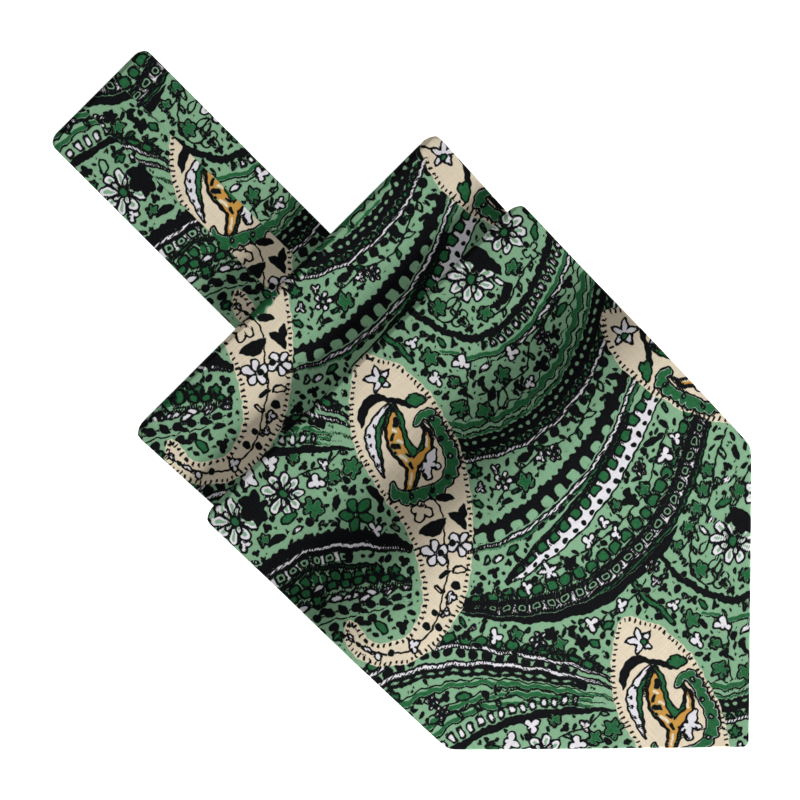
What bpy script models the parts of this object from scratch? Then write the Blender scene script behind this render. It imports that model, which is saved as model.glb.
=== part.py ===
"""Ascot scarf, folded flat and lying face up on a surface.

Frame: +Z up, the scarf's length along Y, the square end of the pleated neck band at +Y and the
point of the front blade at -Y. The origin is under the middle of the folded scarf, on the surface.

From the top the pieces are the front blade, whose rolled top fold turns under onto the back blade,
the back blade, whose own rolled fold turns under onto the pleated neck band, the neck band, folded
double at its square end, and one rounded solid for the folds that are hidden between them.
"""
import math

import bmesh
import bpy

MM = 0.001

# Driving sizes, in millimetres
GAP = 0.3                      # clear space between two pieces that touch
BLADE_WALL = 1.7               # a blade is two plies and an interlining
BAND_WALL = 1.3                # one half of the doubled neck band
BAND_END_Y = 160.0             # square end of the neck band
BACK_FOLD_Y = 67.8             # top fold of the back blade
FRONT_FOLD_Y = 29.8            # top fold of the front blade
POINT_Y = -160.9               # where the two edges of the point would meet
BAND_WIDTH = 46.8
BACK_FOLD_WIDTH = 147.2
BACK_TAPER = 0.095             # width lost for each millimetre of length
FRONT_FOLD_WIDTH = 154.4
FRONT_TAPER = 0.055
POINT_RADIUS = 2.2
SHOULDER_SOFTNESS = 1.4        # how far the corner between side and point is eased
CORNER_RADIUS = 3.8            # plan corners of every square fold
TURN_STEPS = 8                 # straight runs round a half turn of cloth

# The pleated neck band
BAND_GAP = 0.3                 # between its two halves
PLEAT_RISE = 0.45              # one knife pleat over the next
PLEAT_STEP_WIDTH = 0.12
BAND_INNER_Y = 64.0            # where it passes into the hidden folds
PLEAT_LINES = (
    # x at the square end, x at the back blade
    (-6.5, -5.5),
    (8.1, 9.2),
)

# Heights of each blade's outer face, from the rolled fold towards the point
BACK_TOP = (
    # y, z
    (64.3, 7.90),
    (57.0, 8.05),
    (48.0, 8.00),
    (38.0, 7.80),
    (28.0, 7.60),
    (14.0, 7.50),
    (3.4, 7.50),
    (-1.7, 7.65),
    (-5.1, 8.00),
    (-8.6, 8.50),
    (-14.0, 9.50),
)
FRONT_TOP = (
    # y, z
    (27.2, 11.40),
    (20.0, 11.65),
    (12.0, 11.60),
    (3.4, 11.60),
    (-1.7, 11.75),
    (-5.1, 12.00),
    (-8.6, 12.50),
    (-12.0, 13.15),
    (-15.5, 13.90),
    (-19.0, 14.85),
    (-22.5, 15.80),
    (-26.0, 16.65),
    (-29.4, 17.30),
    (-32.8, 17.75),
    (-36.3, 18.00),
    (-41.0, 18.15),
    (-52.0, 17.65),
    (-70.0, 16.00),
    (-90.0, 13.65),
    (-110.0, 10.90),
    (-130.0, 7.70),
    (-146.0, 4.85),
    (-154.0, 3.30),
    (-161.0, 2.00),
)
# Outer, lower faces of the plies that are turned under at each fold
BACK_UNDER = (
    # y, z
    (64.3, 3.65),
    (58.0, 3.70),
    (48.0, 3.75),
    (38.0, 3.70),
)
UNDER_PLY_INSET = 1.2          # a turned-under ply is narrower on each side
BACK_HIDDEN_END_Y = -14.0
FRONT_UNDER_END_Y = -12.0

# The hidden folds
FOLD_STACK_START_Y = 63.7
FOLD_STACK_END_Y = -152.0
STACK_INSET = 3.0              # its sides lie inside the blades' edges
GROOVE_DEPTH = 0.9
STACK_CORNER = 3.0
PLY_EDGES = (
    # share of the height, inset on the left, inset on the right
    (0.17, 0.4, 1.5),
    (0.34, 1.7, 0.3),
    (0.50, 0.2, 1.8),
    (0.67, 1.4, 0.8),
    (0.84, 0.7, 1.6),
    (1.00, 1.9, 0.5),
)


def smooth_height(table, y):
    """Read a height between the rows of a table, on a smooth curve that never overshoots them."""
    rows = sorted(table)
    ys = [row[0] for row in rows]
    zs = [row[1] for row in rows]
    if y <= ys[0]:
        return zs[0]
    if y >= ys[-1]:
        return zs[-1]
    last = len(rows) - 1
    rises = [(zs[i + 1] - zs[i]) / (ys[i + 1] - ys[i]) for i in range(last)]

    def slope(i):
        if i == 0 or i == last or rises[i - 1] * rises[i] <= 0:
            return 0.0 if 0 < i < last else rises[min(i, last - 1)]
        return 2 * rises[i - 1] * rises[i] / (rises[i - 1] + rises[i])

    i = max(k for k in range(last) if ys[k] <= y)
    run = ys[i + 1] - ys[i]
    t = (y - ys[i]) / run
    start = (2 * t ** 3 - 3 * t ** 2 + 1) * zs[i] + (t ** 3 - 2 * t ** 2 + t) * run * slope(i)
    end = (3 * t ** 2 - 2 * t ** 3) * zs[i + 1] + (t ** 3 - t ** 2) * run * slope(i + 1)
    return start + end


def steps(start, end, longest):
    """Evenly spaced values from start to end, both included."""
    count = max(1, math.ceil(abs(end - start) / longest))
    return [start + (end - start) * i / count for i in range(count + 1)]


def eased_corner(inside, radius):
    """How far a round plan corner draws the side in, at a distance inside the square end."""
    depth = radius - min(max(inside, 0.0), radius)
    return radius - math.sqrt(radius ** 2 - depth ** 2)


def band_half_width(y):
    return BAND_WIDTH / 2 - eased_corner(BAND_END_Y - y, CORNER_RADIUS)


def back_half_width(y):
    straight = (BACK_FOLD_WIDTH - BACK_TAPER * (BACK_FOLD_Y - y)) / 2
    return straight - eased_corner(BACK_FOLD_Y - y, CORNER_RADIUS)


def front_half_width(y):
    """Half width of the front blade: tapered sides, then a square point with a small round tip."""
    side = (FRONT_FOLD_WIDTH - FRONT_TAPER * (FRONT_FOLD_Y - y)) / 2
    side -= eased_corner(FRONT_FOLD_Y - y, CORNER_RADIUS)
    round_centre_y = POINT_Y + POINT_RADIUS * math.sqrt(2)
    if y < round_centre_y - POINT_RADIUS / math.sqrt(2):
        return math.sqrt(max(POINT_RADIUS ** 2 - (round_centre_y - y) ** 2, 0.01))
    edge = y - POINT_Y
    apart = math.sqrt((side - edge) ** 2 + SHOULDER_SOFTNESS ** 2)
    eased = (side + edge - apart) / 2
    return min(eased, edge)


def lower_face(top_table, wall, y):
    """Height of a ply's lower face, square to its slope."""
    reach = 0.5
    rise = (smooth_height(top_table, y + reach) - smooth_height(top_table, y - reach)) / (2 * reach)
    return smooth_height(top_table, y) - wall * math.sqrt(1 + rise ** 2)


def front_under(y):
    """Lower face of the front blade's turned-under ply, which lies on the back blade."""
    return smooth_height(BACK_TOP, y) + GAP


def stack_top(y):
    """Height of the hidden folds, just clear of whatever lies on them."""
    if y > BACK_UNDER[-1][0] - 1.0:
        return smooth_height(BACK_UNDER, y) - GAP
    if y > BACK_HIDDEN_END_Y - 1.0:
        return lower_face(BACK_TOP, BLADE_WALL, y) - GAP
    return lower_face(FRONT_TOP, BLADE_WALL, y) - GAP


def folded_path(top, under, wall, fold_y, top_ys, under_ys):
    """Middle line of a cloth wall: along its top, round the fold at fold_y and back underneath.

    top and under give the outer faces' heights. The result is a list of (y, z, turned_under).
    """
    radius = (top(top_ys[-1]) - under(under_ys[0]) - wall) / 2
    centre_y = fold_y - wall / 2 - radius
    centre_z = top(top_ys[-1]) - wall / 2 - radius
    path = [(y, top(y) - wall / 2, 0.0) for y in top_ys[:-1]]
    for i in range(TURN_STEPS + 1):
        angle = math.pi / 2 - math.pi * i / TURN_STEPS
        path.append((centre_y + radius * math.cos(angle), centre_z + radius * math.sin(angle),
                     i / TURN_STEPS))
    path += [(y, under(y) + wall / 2, 1.0) for y in under_ys[1:]]
    return path


def path_normals(path):
    """Directions square to the path, in the Y-Z plane, to its outer side."""
    normals = []
    for i in range(len(path)):
        before = path[max(i - 1, 0)]
        after = path[min(i + 1, len(path) - 1)]
        run, rise = after[0] - before[0], after[1] - before[1]
        length = math.hypot(run, rise)
        normals.append((-rise / length, run / length))
    return normals


def wall_ring(point, normal, half_width, wall, columns, lift):
    """One closed section across a cloth wall, with round side edges.

    columns are shares of the half width, from -1 to 1. lift(share) raises the outer face.
    """
    y, z, _ = point
    inner_half = half_width - wall / 2
    ring = []

    def add(x, offset):
        ring.append((x, y + normal[0] * offset, z + normal[1] * offset))

    for share in columns:
        add(inner_half * share, wall / 2 + lift(inner_half * share))
    for angle in (45, 0, -45):
        turn = math.radians(angle)
        add(inner_half + wall / 2 * math.cos(turn), wall / 2 * math.sin(turn))
    for share in reversed(columns):
        add(inner_half * share, -wall / 2)
    for angle in (-45, 0, 45):
        turn = math.radians(angle)
        add(-inner_half - wall / 2 * math.cos(turn), wall / 2 * math.sin(turn))
    return ring


def closed_loft(rings):
    """Join rings of equal length into one closed body."""
    mesh = bmesh.new()
    loops = [[mesh.verts.new([value * MM for value in corner]) for corner in ring] for ring in rings]
    count = len(loops[0])
    for first, second in zip(loops, loops[1:]):
        for i in range(count):
            j = (i + 1) % count
            mesh.faces.new((first[i], first[j], second[j], second[i]))
    mesh.faces.new(list(reversed(loops[0])))
    mesh.faces.new(loops[-1])
    bmesh.ops.recalc_face_normals(mesh, faces=mesh.faces)
    return mesh


def cloth_material(name, colour):
    material = bpy.data.materials.new(name)
    material.use_nodes = True
    shader = material.node_tree.nodes["Principled BSDF"]
    shader.inputs["Base Color"].default_value = (*colour, 1.0)
    shader.inputs["Roughness"].default_value = 0.85
    shader.inputs["Metallic"].default_value = 0.0
    return material


def add_piece(name, mesh, colour):
    """Make one object of a finished mesh, shaded smooth but for its creases."""
    data = bpy.data.meshes.new(name)
    mesh.to_mesh(data)
    mesh.free()
    data.materials.append(cloth_material(name + "_cloth", colour))
    data.shade_smooth()
    data.set_sharp_from_angle(angle=math.radians(40))
    piece = bpy.data.objects.new(name, data)
    bpy.context.scene.collection.objects.link(piece)
    return piece


def blade_columns():
    return [-1.0, -0.75, -0.5, -0.25, 0.0, 0.25, 0.5, 0.75, 1.0]


def no_lift(x):
    return 0.0


def blade_rings(path, half_width, wall):
    rings = []
    for point, normal in zip(path, path_normals(path)):
        outer_y = point[0] + normal[0] * wall / 2
        half = half_width(outer_y) - UNDER_PLY_INSET * point[2]
        rings.append(wall_ring(point, normal, half, min(wall, half), blade_columns(), no_lift))
    return rings


def make_front_blade():
    shoulder_y = POINT_Y + FRONT_FOLD_WIDTH / 2
    tip_y = POINT_Y + POINT_RADIUS * (math.sqrt(2) - 1) + 0.03
    top_ys = steps(tip_y, tip_y + 2.4, 0.5)
    top_ys += steps(tip_y + 4.0, shoulder_y - 12.0, 9.0)
    top_ys += steps(shoulder_y - 8.0, shoulder_y + 4.0, 2.5)
    top_ys += steps(shoulder_y + 12.0, -46.0, 9.0)
    top_ys += steps(-42.0, -2.0, 2.6)
    top_ys += steps(3.0, 22.0, 5.0)
    top_ys += [25.0, 27.2]
    under_ys = [27.2] + steps(24.0, FRONT_UNDER_END_Y, 6.0)
    path = folded_path(lambda y: smooth_height(FRONT_TOP, y), front_under, BLADE_WALL,
                       FRONT_FOLD_Y, top_ys, under_ys)
    mesh = closed_loft(blade_rings(path, front_half_width, BLADE_WALL))
    return add_piece("front_blade", mesh, (0.10, 0.19, 0.11))


def make_back_blade():
    top_ys = steps(BACK_HIDDEN_END_Y, 56.0, 5.0) + [59.0, 62.0, 64.3]
    under_ys = [64.3] + steps(61.0, BACK_UNDER[-1][0], 3.0)
    path = folded_path(lambda y: smooth_height(BACK_TOP, y), lambda y: smooth_height(BACK_UNDER, y),
                       BLADE_WALL, BACK_FOLD_Y, top_ys, under_ys)
    mesh = closed_loft(blade_rings(path, back_half_width, BLADE_WALL))
    return add_piece("back_blade", mesh, (0.09, 0.17, 0.10))


def pleat_lift(y, turned_under):
    """Outer face of the neck band: three pleats, each rising to an edge that covers the next."""
    along = (BAND_END_Y - y) / (BAND_END_Y - BAND_INNER_Y)
    lines = [end_x + (inner_x - end_x) * along for end_x, inner_x in PLEAT_LINES]
    edges = [-BAND_WIDTH / 2] + lines + [BAND_WIDTH / 2]
    fade = max(0.0, 1.0 - 4 * turned_under)

    def lift(x):
        for low, high in zip(edges, edges[1:]):
            if x <= high + PLEAT_STEP_WIDTH / 4:
                return PLEAT_RISE * fade * (high - max(x, low)) / (high - low)
        return 0.0

    return lift, lines


def make_neck_band():
    top_z = 2 * BAND_WALL + BAND_GAP
    radius = (top_z - BAND_WALL) / 2
    turn_y = BAND_END_Y - BAND_WALL / 2 - radius
    top_ys = steps(BAND_INNER_Y, turn_y - 5.0, 15.0) + [turn_y - 2.5, turn_y]
    under_ys = [turn_y, turn_y - 2.5] + steps(turn_y - 5.0, BAND_INNER_Y, 30.0)
    path = folded_path(lambda y: top_z, lambda y: 0.0, BAND_WALL, BAND_END_Y, top_ys, under_ys)
    rings = []
    for point, normal in zip(path, path_normals(path)):
        half = band_half_width(point[0] + normal[0] * BAND_WALL / 2) - 0.5 * point[2]
        lift, lines = pleat_lift(point[0], point[2])
        inner_half = half - BAND_WALL / 2
        columns = [-1.0, -0.6]
        for x in lines:
            columns += [(x - PLEAT_STEP_WIDTH / 2) / inner_half, (x + PLEAT_STEP_WIDTH / 2) / inner_half]
            columns.append((x + 7.0) / inner_half)
        columns.append(1.0)
        rings.append(wall_ring(point, normal, half, BAND_WALL, columns, lift))
    return add_piece("neck_band", closed_loft(rings), (0.12, 0.22, 0.13))


def stack_half_width(y):
    """Half width of the hidden folds, inside the edges of the blades over them."""
    blend = min(max((FRONT_FOLD_Y - y) / 25.0 + 0.5, 0.0), 1.0)
    under_back = back_half_width(y)
    under_front = front_half_width(min(y, FRONT_FOLD_Y - CORNER_RADIUS))
    half = under_back + (under_front - under_back) * blend - STACK_INSET
    return half - eased_corner(FOLD_STACK_START_Y - y, STACK_CORNER)


def stack_ring(y, height, half):
    """One section across the hidden folds: a flat base, a rounded lip for each ply, and the top."""
    right, left = [], []
    low = 0.0
    for share, left_inset, right_inset in PLY_EDGES:
        high = height * share
        thick = high - low
        groove = min(GROOVE_DEPTH, 0.5 * thick)
        for side, inset in ((left, left_inset), (right, right_inset)):
            edge = half - inset * min(1.0, half / 10.0)
            if low > 0.0:
                side.append((edge - groove, low))
            side.append((edge, low + 0.25 * thick))
            side.append((edge, low + 0.75 * thick))
        low = high
    ring = [(-half + GROOVE_DEPTH + 2.0, 0.0), (half - GROOVE_DEPTH - 2.0, 0.0)]
    ring += right
    ring += [(share * (half - 3.0), height) for share in (1.0, 0.5, 0.0, -0.5, -1.0)]
    ring += [(-x, z) for x, z in reversed(left)]
    return [(x, y, z) for x, z in ring]


def make_hidden_folds():
    ys = [FOLD_STACK_START_Y, 63.1, 62.0, 60.7]
    ys += steps(58.0, 37.8, 4.0)
    ys += steps(36.6, BACK_HIDDEN_END_Y - 0.8, 7.0)
    ys += steps(-16.2, -42.0, 2.6)
    ys += steps(-50.0, -80.0, 10.0)
    ys += steps(-84.0, -92.0, 4.0)
    ys += steps(-102.0, FOLD_STACK_END_Y, 8.0)
    rings = [stack_ring(y, stack_top(y), stack_half_width(y)) for y in ys]
    return add_piece("hidden_folds", closed_loft(rings), (0.07, 0.13, 0.08))


def clear_scene():
    for item in list(bpy.data.objects):
        bpy.data.objects.remove(item, do_unlink=True)


clear_scene()
make_neck_band()
make_back_blade()
make_front_blade()
make_hidden_folds()
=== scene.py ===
"""Ascot scarf, folded flat: the printed cotton, its light and its camera.

Every piece is a closed cloth shell on the form of its solid. The paisley print is drawn once, by
functions, on a canvas that lies along the cloth, and each shell reads it at its own cloth places.
"""
import math

import bpy
import numpy as np
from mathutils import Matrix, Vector


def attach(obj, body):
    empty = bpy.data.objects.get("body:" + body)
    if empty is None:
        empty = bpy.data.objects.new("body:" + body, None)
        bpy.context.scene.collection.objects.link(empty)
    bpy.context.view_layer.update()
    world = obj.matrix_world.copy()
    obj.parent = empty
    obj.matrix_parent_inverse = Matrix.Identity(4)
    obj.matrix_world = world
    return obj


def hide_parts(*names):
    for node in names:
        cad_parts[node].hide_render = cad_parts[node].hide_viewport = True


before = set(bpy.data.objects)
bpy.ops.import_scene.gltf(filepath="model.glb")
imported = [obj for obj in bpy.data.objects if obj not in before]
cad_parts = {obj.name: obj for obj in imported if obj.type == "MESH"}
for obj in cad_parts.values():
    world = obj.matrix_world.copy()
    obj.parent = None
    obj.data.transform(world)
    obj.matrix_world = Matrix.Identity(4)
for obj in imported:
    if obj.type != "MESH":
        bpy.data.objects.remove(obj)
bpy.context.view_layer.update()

MM = 0.001

# Sizes of the folded scarf, in millimetres, the same as its solids'
GAP = 0.3
BLADE_WALL = 1.7
BAND_WALL = 1.3
BAND_END_Y = 160.0
BACK_FOLD_Y = 67.8
FRONT_FOLD_Y = 29.8
POINT_Y = -160.9
BAND_WIDTH = 46.8
BACK_FOLD_WIDTH = 147.2
BACK_TAPER = 0.095
FRONT_FOLD_WIDTH = 154.4
FRONT_TAPER = 0.055
POINT_RADIUS = 2.2
SHOULDER_SOFTNESS = 1.4
CORNER_RADIUS = 3.8
BAND_GAP = 0.3
PLEAT_RISE = 0.45
PLEAT_STEP_WIDTH = 0.12
PLEAT_WIDTH = 15.0
BAND_INNER_Y = 64.0
PLEAT_LINES = (
    # x at the square end, x at the back blade
    (-6.5, -5.5),
    (8.1, 9.2),
)
BACK_TOP = (
    # y, z
    (64.3, 7.90),
    (57.0, 8.05),
    (48.0, 8.00),
    (38.0, 7.80),
    (28.0, 7.60),
    (14.0, 7.50),
    (3.4, 7.50),
    (-1.7, 7.65),
    (-5.1, 8.00),
    (-8.6, 8.50),
    (-14.0, 9.50),
)
FRONT_TOP = (
    # y, z
    (27.2, 11.40),
    (20.0, 11.65),
    (12.0, 11.60),
    (3.4, 11.60),
    (-1.7, 11.75),
    (-5.1, 12.00),
    (-8.6, 12.50),
    (-12.0, 13.15),
    (-15.5, 13.90),
    (-19.0, 14.85),
    (-22.5, 15.80),
    (-26.0, 16.65),
    (-29.4, 17.30),
    (-32.8, 17.75),
    (-36.3, 18.00),
    (-41.0, 18.15),
    (-52.0, 17.65),
    (-70.0, 16.00),
    (-90.0, 13.65),
    (-110.0, 10.90),
    (-130.0, 7.70),
    (-146.0, 4.85),
    (-154.0, 3.30),
    (-161.0, 2.00),
)
BACK_UNDER = (
    # y, z
    (64.3, 3.65),
    (58.0, 3.70),
    (48.0, 3.75),
    (38.0, 3.70),
)
UNDER_PLY_INSET = 1.2
BACK_HIDDEN_END_Y = -14.0
FRONT_UNDER_END_Y = -12.0
FOLD_STACK_START_Y = 63.7
FOLD_STACK_END_Y = -152.0
STACK_INSET = 3.0
STACK_CORNER = 3.0
PLY_BULGE = 0.9
PLY_CLEARANCE = 0.04
PLY_EDGES = (
    # share of the height, inset on the left, inset on the right
    (0.17, 0.4, 1.5),
    (0.34, 1.7, 0.3),
    (0.50, 0.2, 1.8),
    (0.67, 1.4, 0.8),
    (0.84, 0.7, 1.6),
    (1.00, 1.9, 0.5),
)

# Which part of the print each piece is cut from, down and across it, in millimetres
BACK_BLADE_CUT = 49.8
STRIP_CUTS = (
    # of the neck band's three pleats, left to right
    (-21.9, -53.0),
    (-23.5, -18.4),
    (-24.9, 17.2),
)
PLY_CUT = 23.0

# How finely the cloth is modelled, in millimetres between its points
FINE = 0.6
COARSE = 4.0
TURN_STEPS = 16
STACK_RUNS = (
    # from y, to y, longest step: the hidden folds' height jumps where one run ends and the next starts
    (FOLD_STACK_END_Y, -16.2, 2 * FINE),
    (-14.8, 38.2, 2 * FINE),
    (39.0, 60.0, 2 * FINE),
    (60.6, FOLD_STACK_START_Y, 0.4),
)

# The studio, in metres: a wide soft box stands low beyond the scarf's point, a low board shades its
# foot so that the cloth that slopes towards it isn't too bright, and a small light hangs above the folds
KEY_WIDTH = 4.0
KEY_HEIGHT = 0.7
KEY_DISTANCE = 5.0
KEY_RISE = 12.5                # degrees above the table
KEY_POWER = 765.0
FLAG_Y = -0.895
FLAG_HEIGHT = 0.160
FLAG_WIDTH = 1.4
OVERHEAD_POWER = 0.27
SKY = 0.09
FLOOR_WHITE = 0.97
FLOOR_GLOW = 0.88

# The print, in millimetres: s runs down the scarf and repeats, x runs across it
REPEAT = 127.5
CANVAS_HALF = 80.0
GRID = 0.2
FAR = 4.0
LINE = 0.72
INKS = ("green", "white", "cream", "gold", "black")
WOBBLE = (
    # size, waves in a repeat, waves in the canvas's height, start
    (0.26, 9, 11, 0.4),
    (0.16, 17, -14, 2.1),
    (0.12, -29, 33, 4.0),
    (0.08, 41, 38, 1.2),
)


class Brush:
    """A smooth stroke through rows of s, x, half width: the whole print is made of these."""

    def __init__(self, rows, step=1.2, closed=False):
        rows = np.array(rows, dtype=float)
        if closed:
            padded = np.concatenate([rows[-1:], rows, rows[:2]])
        else:
            padded = np.concatenate([2 * rows[:1] - rows[1:2], rows, 2 * rows[-1:] - rows[-2:-1]])
        stops = [padded[1]]
        for before, start, end, after in zip(padded, padded[1:], padded[2:], padded[3:]):
            count = max(2, math.ceil(math.hypot(*(end - start)[:2]) / step))
            for t in np.arange(1, count + 1) / count:
                stops.append(0.5 * (2 * start + (end - before) * t
                                    + (2 * before - 5 * start + 4 * end - after) * t ** 2
                                    + (3 * start - before - 3 * end + after) * t ** 3))
        self.stops = np.array(stops)
        self.width = np.maximum(self.stops[:, 2], 0.02) if rows[:, 2].any() else self.stops[:, 2]
        self.ahead = np.diff(self.stops[:, :2], axis=0)
        self.length = np.hypot(*self.ahead.T)
        self.along = np.concatenate([[0.0], np.cumsum(self.length)])
        self.low = self.stops[:, :2].min(axis=0) - self.width.max()
        self.high = self.stops[:, :2].max(axis=0) + self.width.max()

    def read(self, s, x):
        """At each place: how far from the stroke's edge, how far left of its middle, how far along."""
        best = np.full(s.shape, 1e9)
        across = np.zeros(s.shape)
        along = np.zeros(s.shape)
        last = len(self.ahead) - 1
        for k, (origin, ahead, length) in enumerate(zip(self.stops, self.ahead, self.length)):
            to_s, to_x = s - origin[0], x - origin[1]
            share = (to_s * ahead[0] + to_x * ahead[1]) / length ** 2
            held = np.clip(share, 0.0, 1.0)
            away = np.hypot(to_s - held * ahead[0], to_x - held * ahead[1])
            edge = away - (self.width[k] + (self.width[k + 1] - self.width[k]) * held)
            nearer = edge < best
            best = np.where(nearer, edge, best)
            across = np.where(nearer, np.where(ahead[0] * to_x >= ahead[1] * to_s, away, -away), across)
            reach = np.clip(share, -9.0 if k == 0 else 0.0, 9.0 if k == last else 1.0)
            along = np.where(nearer, self.along[k] + length * reach, along)
        return best, across, along

    def place(self, along):
        """The point at a distance along the stroke, and the stroke's direction there, in degrees."""
        k = min(int(np.searchsorted(self.along, along, side="right")), len(self.ahead)) - 1
        share = (along - self.along[k]) / self.length[k]
        s, x = self.stops[k, :2] + share * self.ahead[k]
        return s, x, math.degrees(math.atan2(self.ahead[k, 1], self.ahead[k, 0]))


class Canvas:
    """One repeat of the print: for each ink, the distance to its edge, negative inside it.

    line is the distance to the middle of the nearest fine black line, and free the distance to
    anything printed.
    """

    def __init__(self):
        self.columns = int(round(REPEAT / GRID))
        self.rows = int(2 * CANVAS_HALF / GRID) + 1
        shape = (self.rows, self.columns)
        self.ink = {name: np.full(shape, FAR) for name in INKS}
        self.line = np.full(shape, FAR)
        self.free = np.full(shape, FAR)

    def tiles(self, low, high, margin=FAR):
        """The parts of the canvas round a box, each with its places, wobbled as a hand would."""
        first = math.floor((low[0] - margin) / GRID)
        last = math.ceil((high[0] + margin) / GRID)
        bottom = max(0, int((low[1] - margin + CANVAS_HALF) / GRID))
        top = min(self.rows, int((high[1] + margin + CANVAS_HALF) / GRID) + 2)
        if bottom >= top:
            return
        rows = np.arange(bottom, top)
        for start in range(first, last + 1, self.columns):
            columns = np.arange(start, min(start + self.columns, last + 1))
            s, x = np.meshgrid(columns * GRID, rows * GRID - CANVAS_HALF)
            turn_s, turn_x = s * 2 * math.pi / REPEAT, x * math.pi / CANVAS_HALF
            shift_s, shift_x = 0.0, 0.0
            for size, turns, rises, begin in WOBBLE:
                phase = turns * turn_s + rises * turn_x + begin
                shift_s = shift_s + size * np.sin(phase)
                shift_x = shift_x + size * np.cos(phase + 1.3 * begin)
            yield np.ix_(rows, columns % self.columns), s + shift_s, x + shift_x

    def fill(self, place, ink, edge):
        """Print one ink inside an edge, over whatever is there."""
        for name, layer in self.ink.items():
            if name == ink:
                layer[place] = np.minimum(layer[place], edge)
            else:
                layer[place] = np.maximum(layer[place], -edge)
        line = self.line[place]
        self.line[place] = np.where(edge < 0, np.maximum(line, LINE / 2 - edge), line)
        self.free[place] = np.minimum(self.free[place], edge)

    def rule(self, place, edge):
        """A fine black line or tick, up to about 1 mm wide."""
        self.line[place] = np.minimum(self.line[place], np.maximum(edge + LINE / 2, 0.0))
        self.free[place] = np.minimum(self.free[place], edge)

    def shape(self, place, ink, edge, rim=0.0):
        """One ink in a fine black outline. rim is a strip of bare ground inside the outline."""
        if ink == "line":
            self.rule(place, edge)
        elif rim is None:
            self.fill(place, ink, edge)
        else:
            if rim:
                self.fill(place, "ground", edge)
            self.fill(place, ink, edge + rim)
            self.rule(place, np.abs(edge) - LINE / 2)

    def strokes(self, ink, many, rim=0.0):
        """Strokes that join into one shape."""
        brushes = [Brush(rows) for rows in many]
        low = np.min([brush.low for brush in brushes], axis=0)
        high = np.max([brush.high for brush in brushes], axis=0)
        for place, s, x in self.tiles(low, high):
            self.shape(place, ink, np.min([brush.read(s, x)[0] for brush in brushes], axis=0), rim)

    def read(self, layer, s, x):
        """A layer's values at places anywhere on the cloth."""
        column = (s % REPEAT) / GRID
        row = np.clip((x + CANVAS_HALF) / GRID, 0, self.rows - 1.001)
        left, low = column.astype(int), row.astype(int)
        a, b = column - left, row - low
        left, right = left % self.columns, (left + 1) % self.columns
        return ((layer[low, left] * (1 - a) + layer[low, right] * a) * (1 - b)
                + (layer[low + 1, left] * (1 - a) + layer[low + 1, right] * a) * b)


def course_edge(kind, low, high, pitch, size, across, along):
    """Distance to the edge of one course of a band: a line, a wave, a rugged line or a row of beads."""
    middle, half = (low + high) / 2, (high - low) / 2
    if kind == "line":
        return np.abs(across - middle) - half
    if kind == "wave":
        return np.abs(across - middle - size * np.sin(2 * math.pi * along / pitch)) - half
    if kind == "rugged":
        rough = np.sin(1.9 * along + across) + np.sin(1.1 * along - 2 * across) + np.sin(3.1 * along)
        return np.abs(across - middle) - half - size * rough / 3
    apart = along - pitch * np.round(along / pitch)
    power = 2.2 if kind == "beads" else 4.0
    length, width = np.abs(apart / (size / 2)), np.abs((across - middle) / half)
    return ((length ** power + width ** power) ** (1 / power) - 1) * min(size / 2, half)


def draw_band(canvas, rows, courses):
    """A long curved band. Its rows are s, x and how full it is there; its courses run side by side."""
    brush = Brush([(s, x, 0.0) for s, x, _ in rows], step=3.0)
    fullness = Brush(rows, step=3.0).stops[:, 2]
    wide = max(max(abs(course[2]), abs(course[3])) for course in courses) + 1.0
    for place, s, x in canvas.tiles(brush.low - wide, brush.high + wide, margin=1.5):
        _, across, along = brush.read(s, x)
        full = np.interp(along, brush.along, fullness)
        for kind, ink, low, high, pitch, size, rim, first, last in courses:
            edge = full * course_edge(kind, low, high, pitch, size, across / full, along)
            start, end = first, last or brush.along[-1]
            canvas.shape(place, ink, np.maximum(edge, np.maximum(start - along, along - end)), rim)


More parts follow.
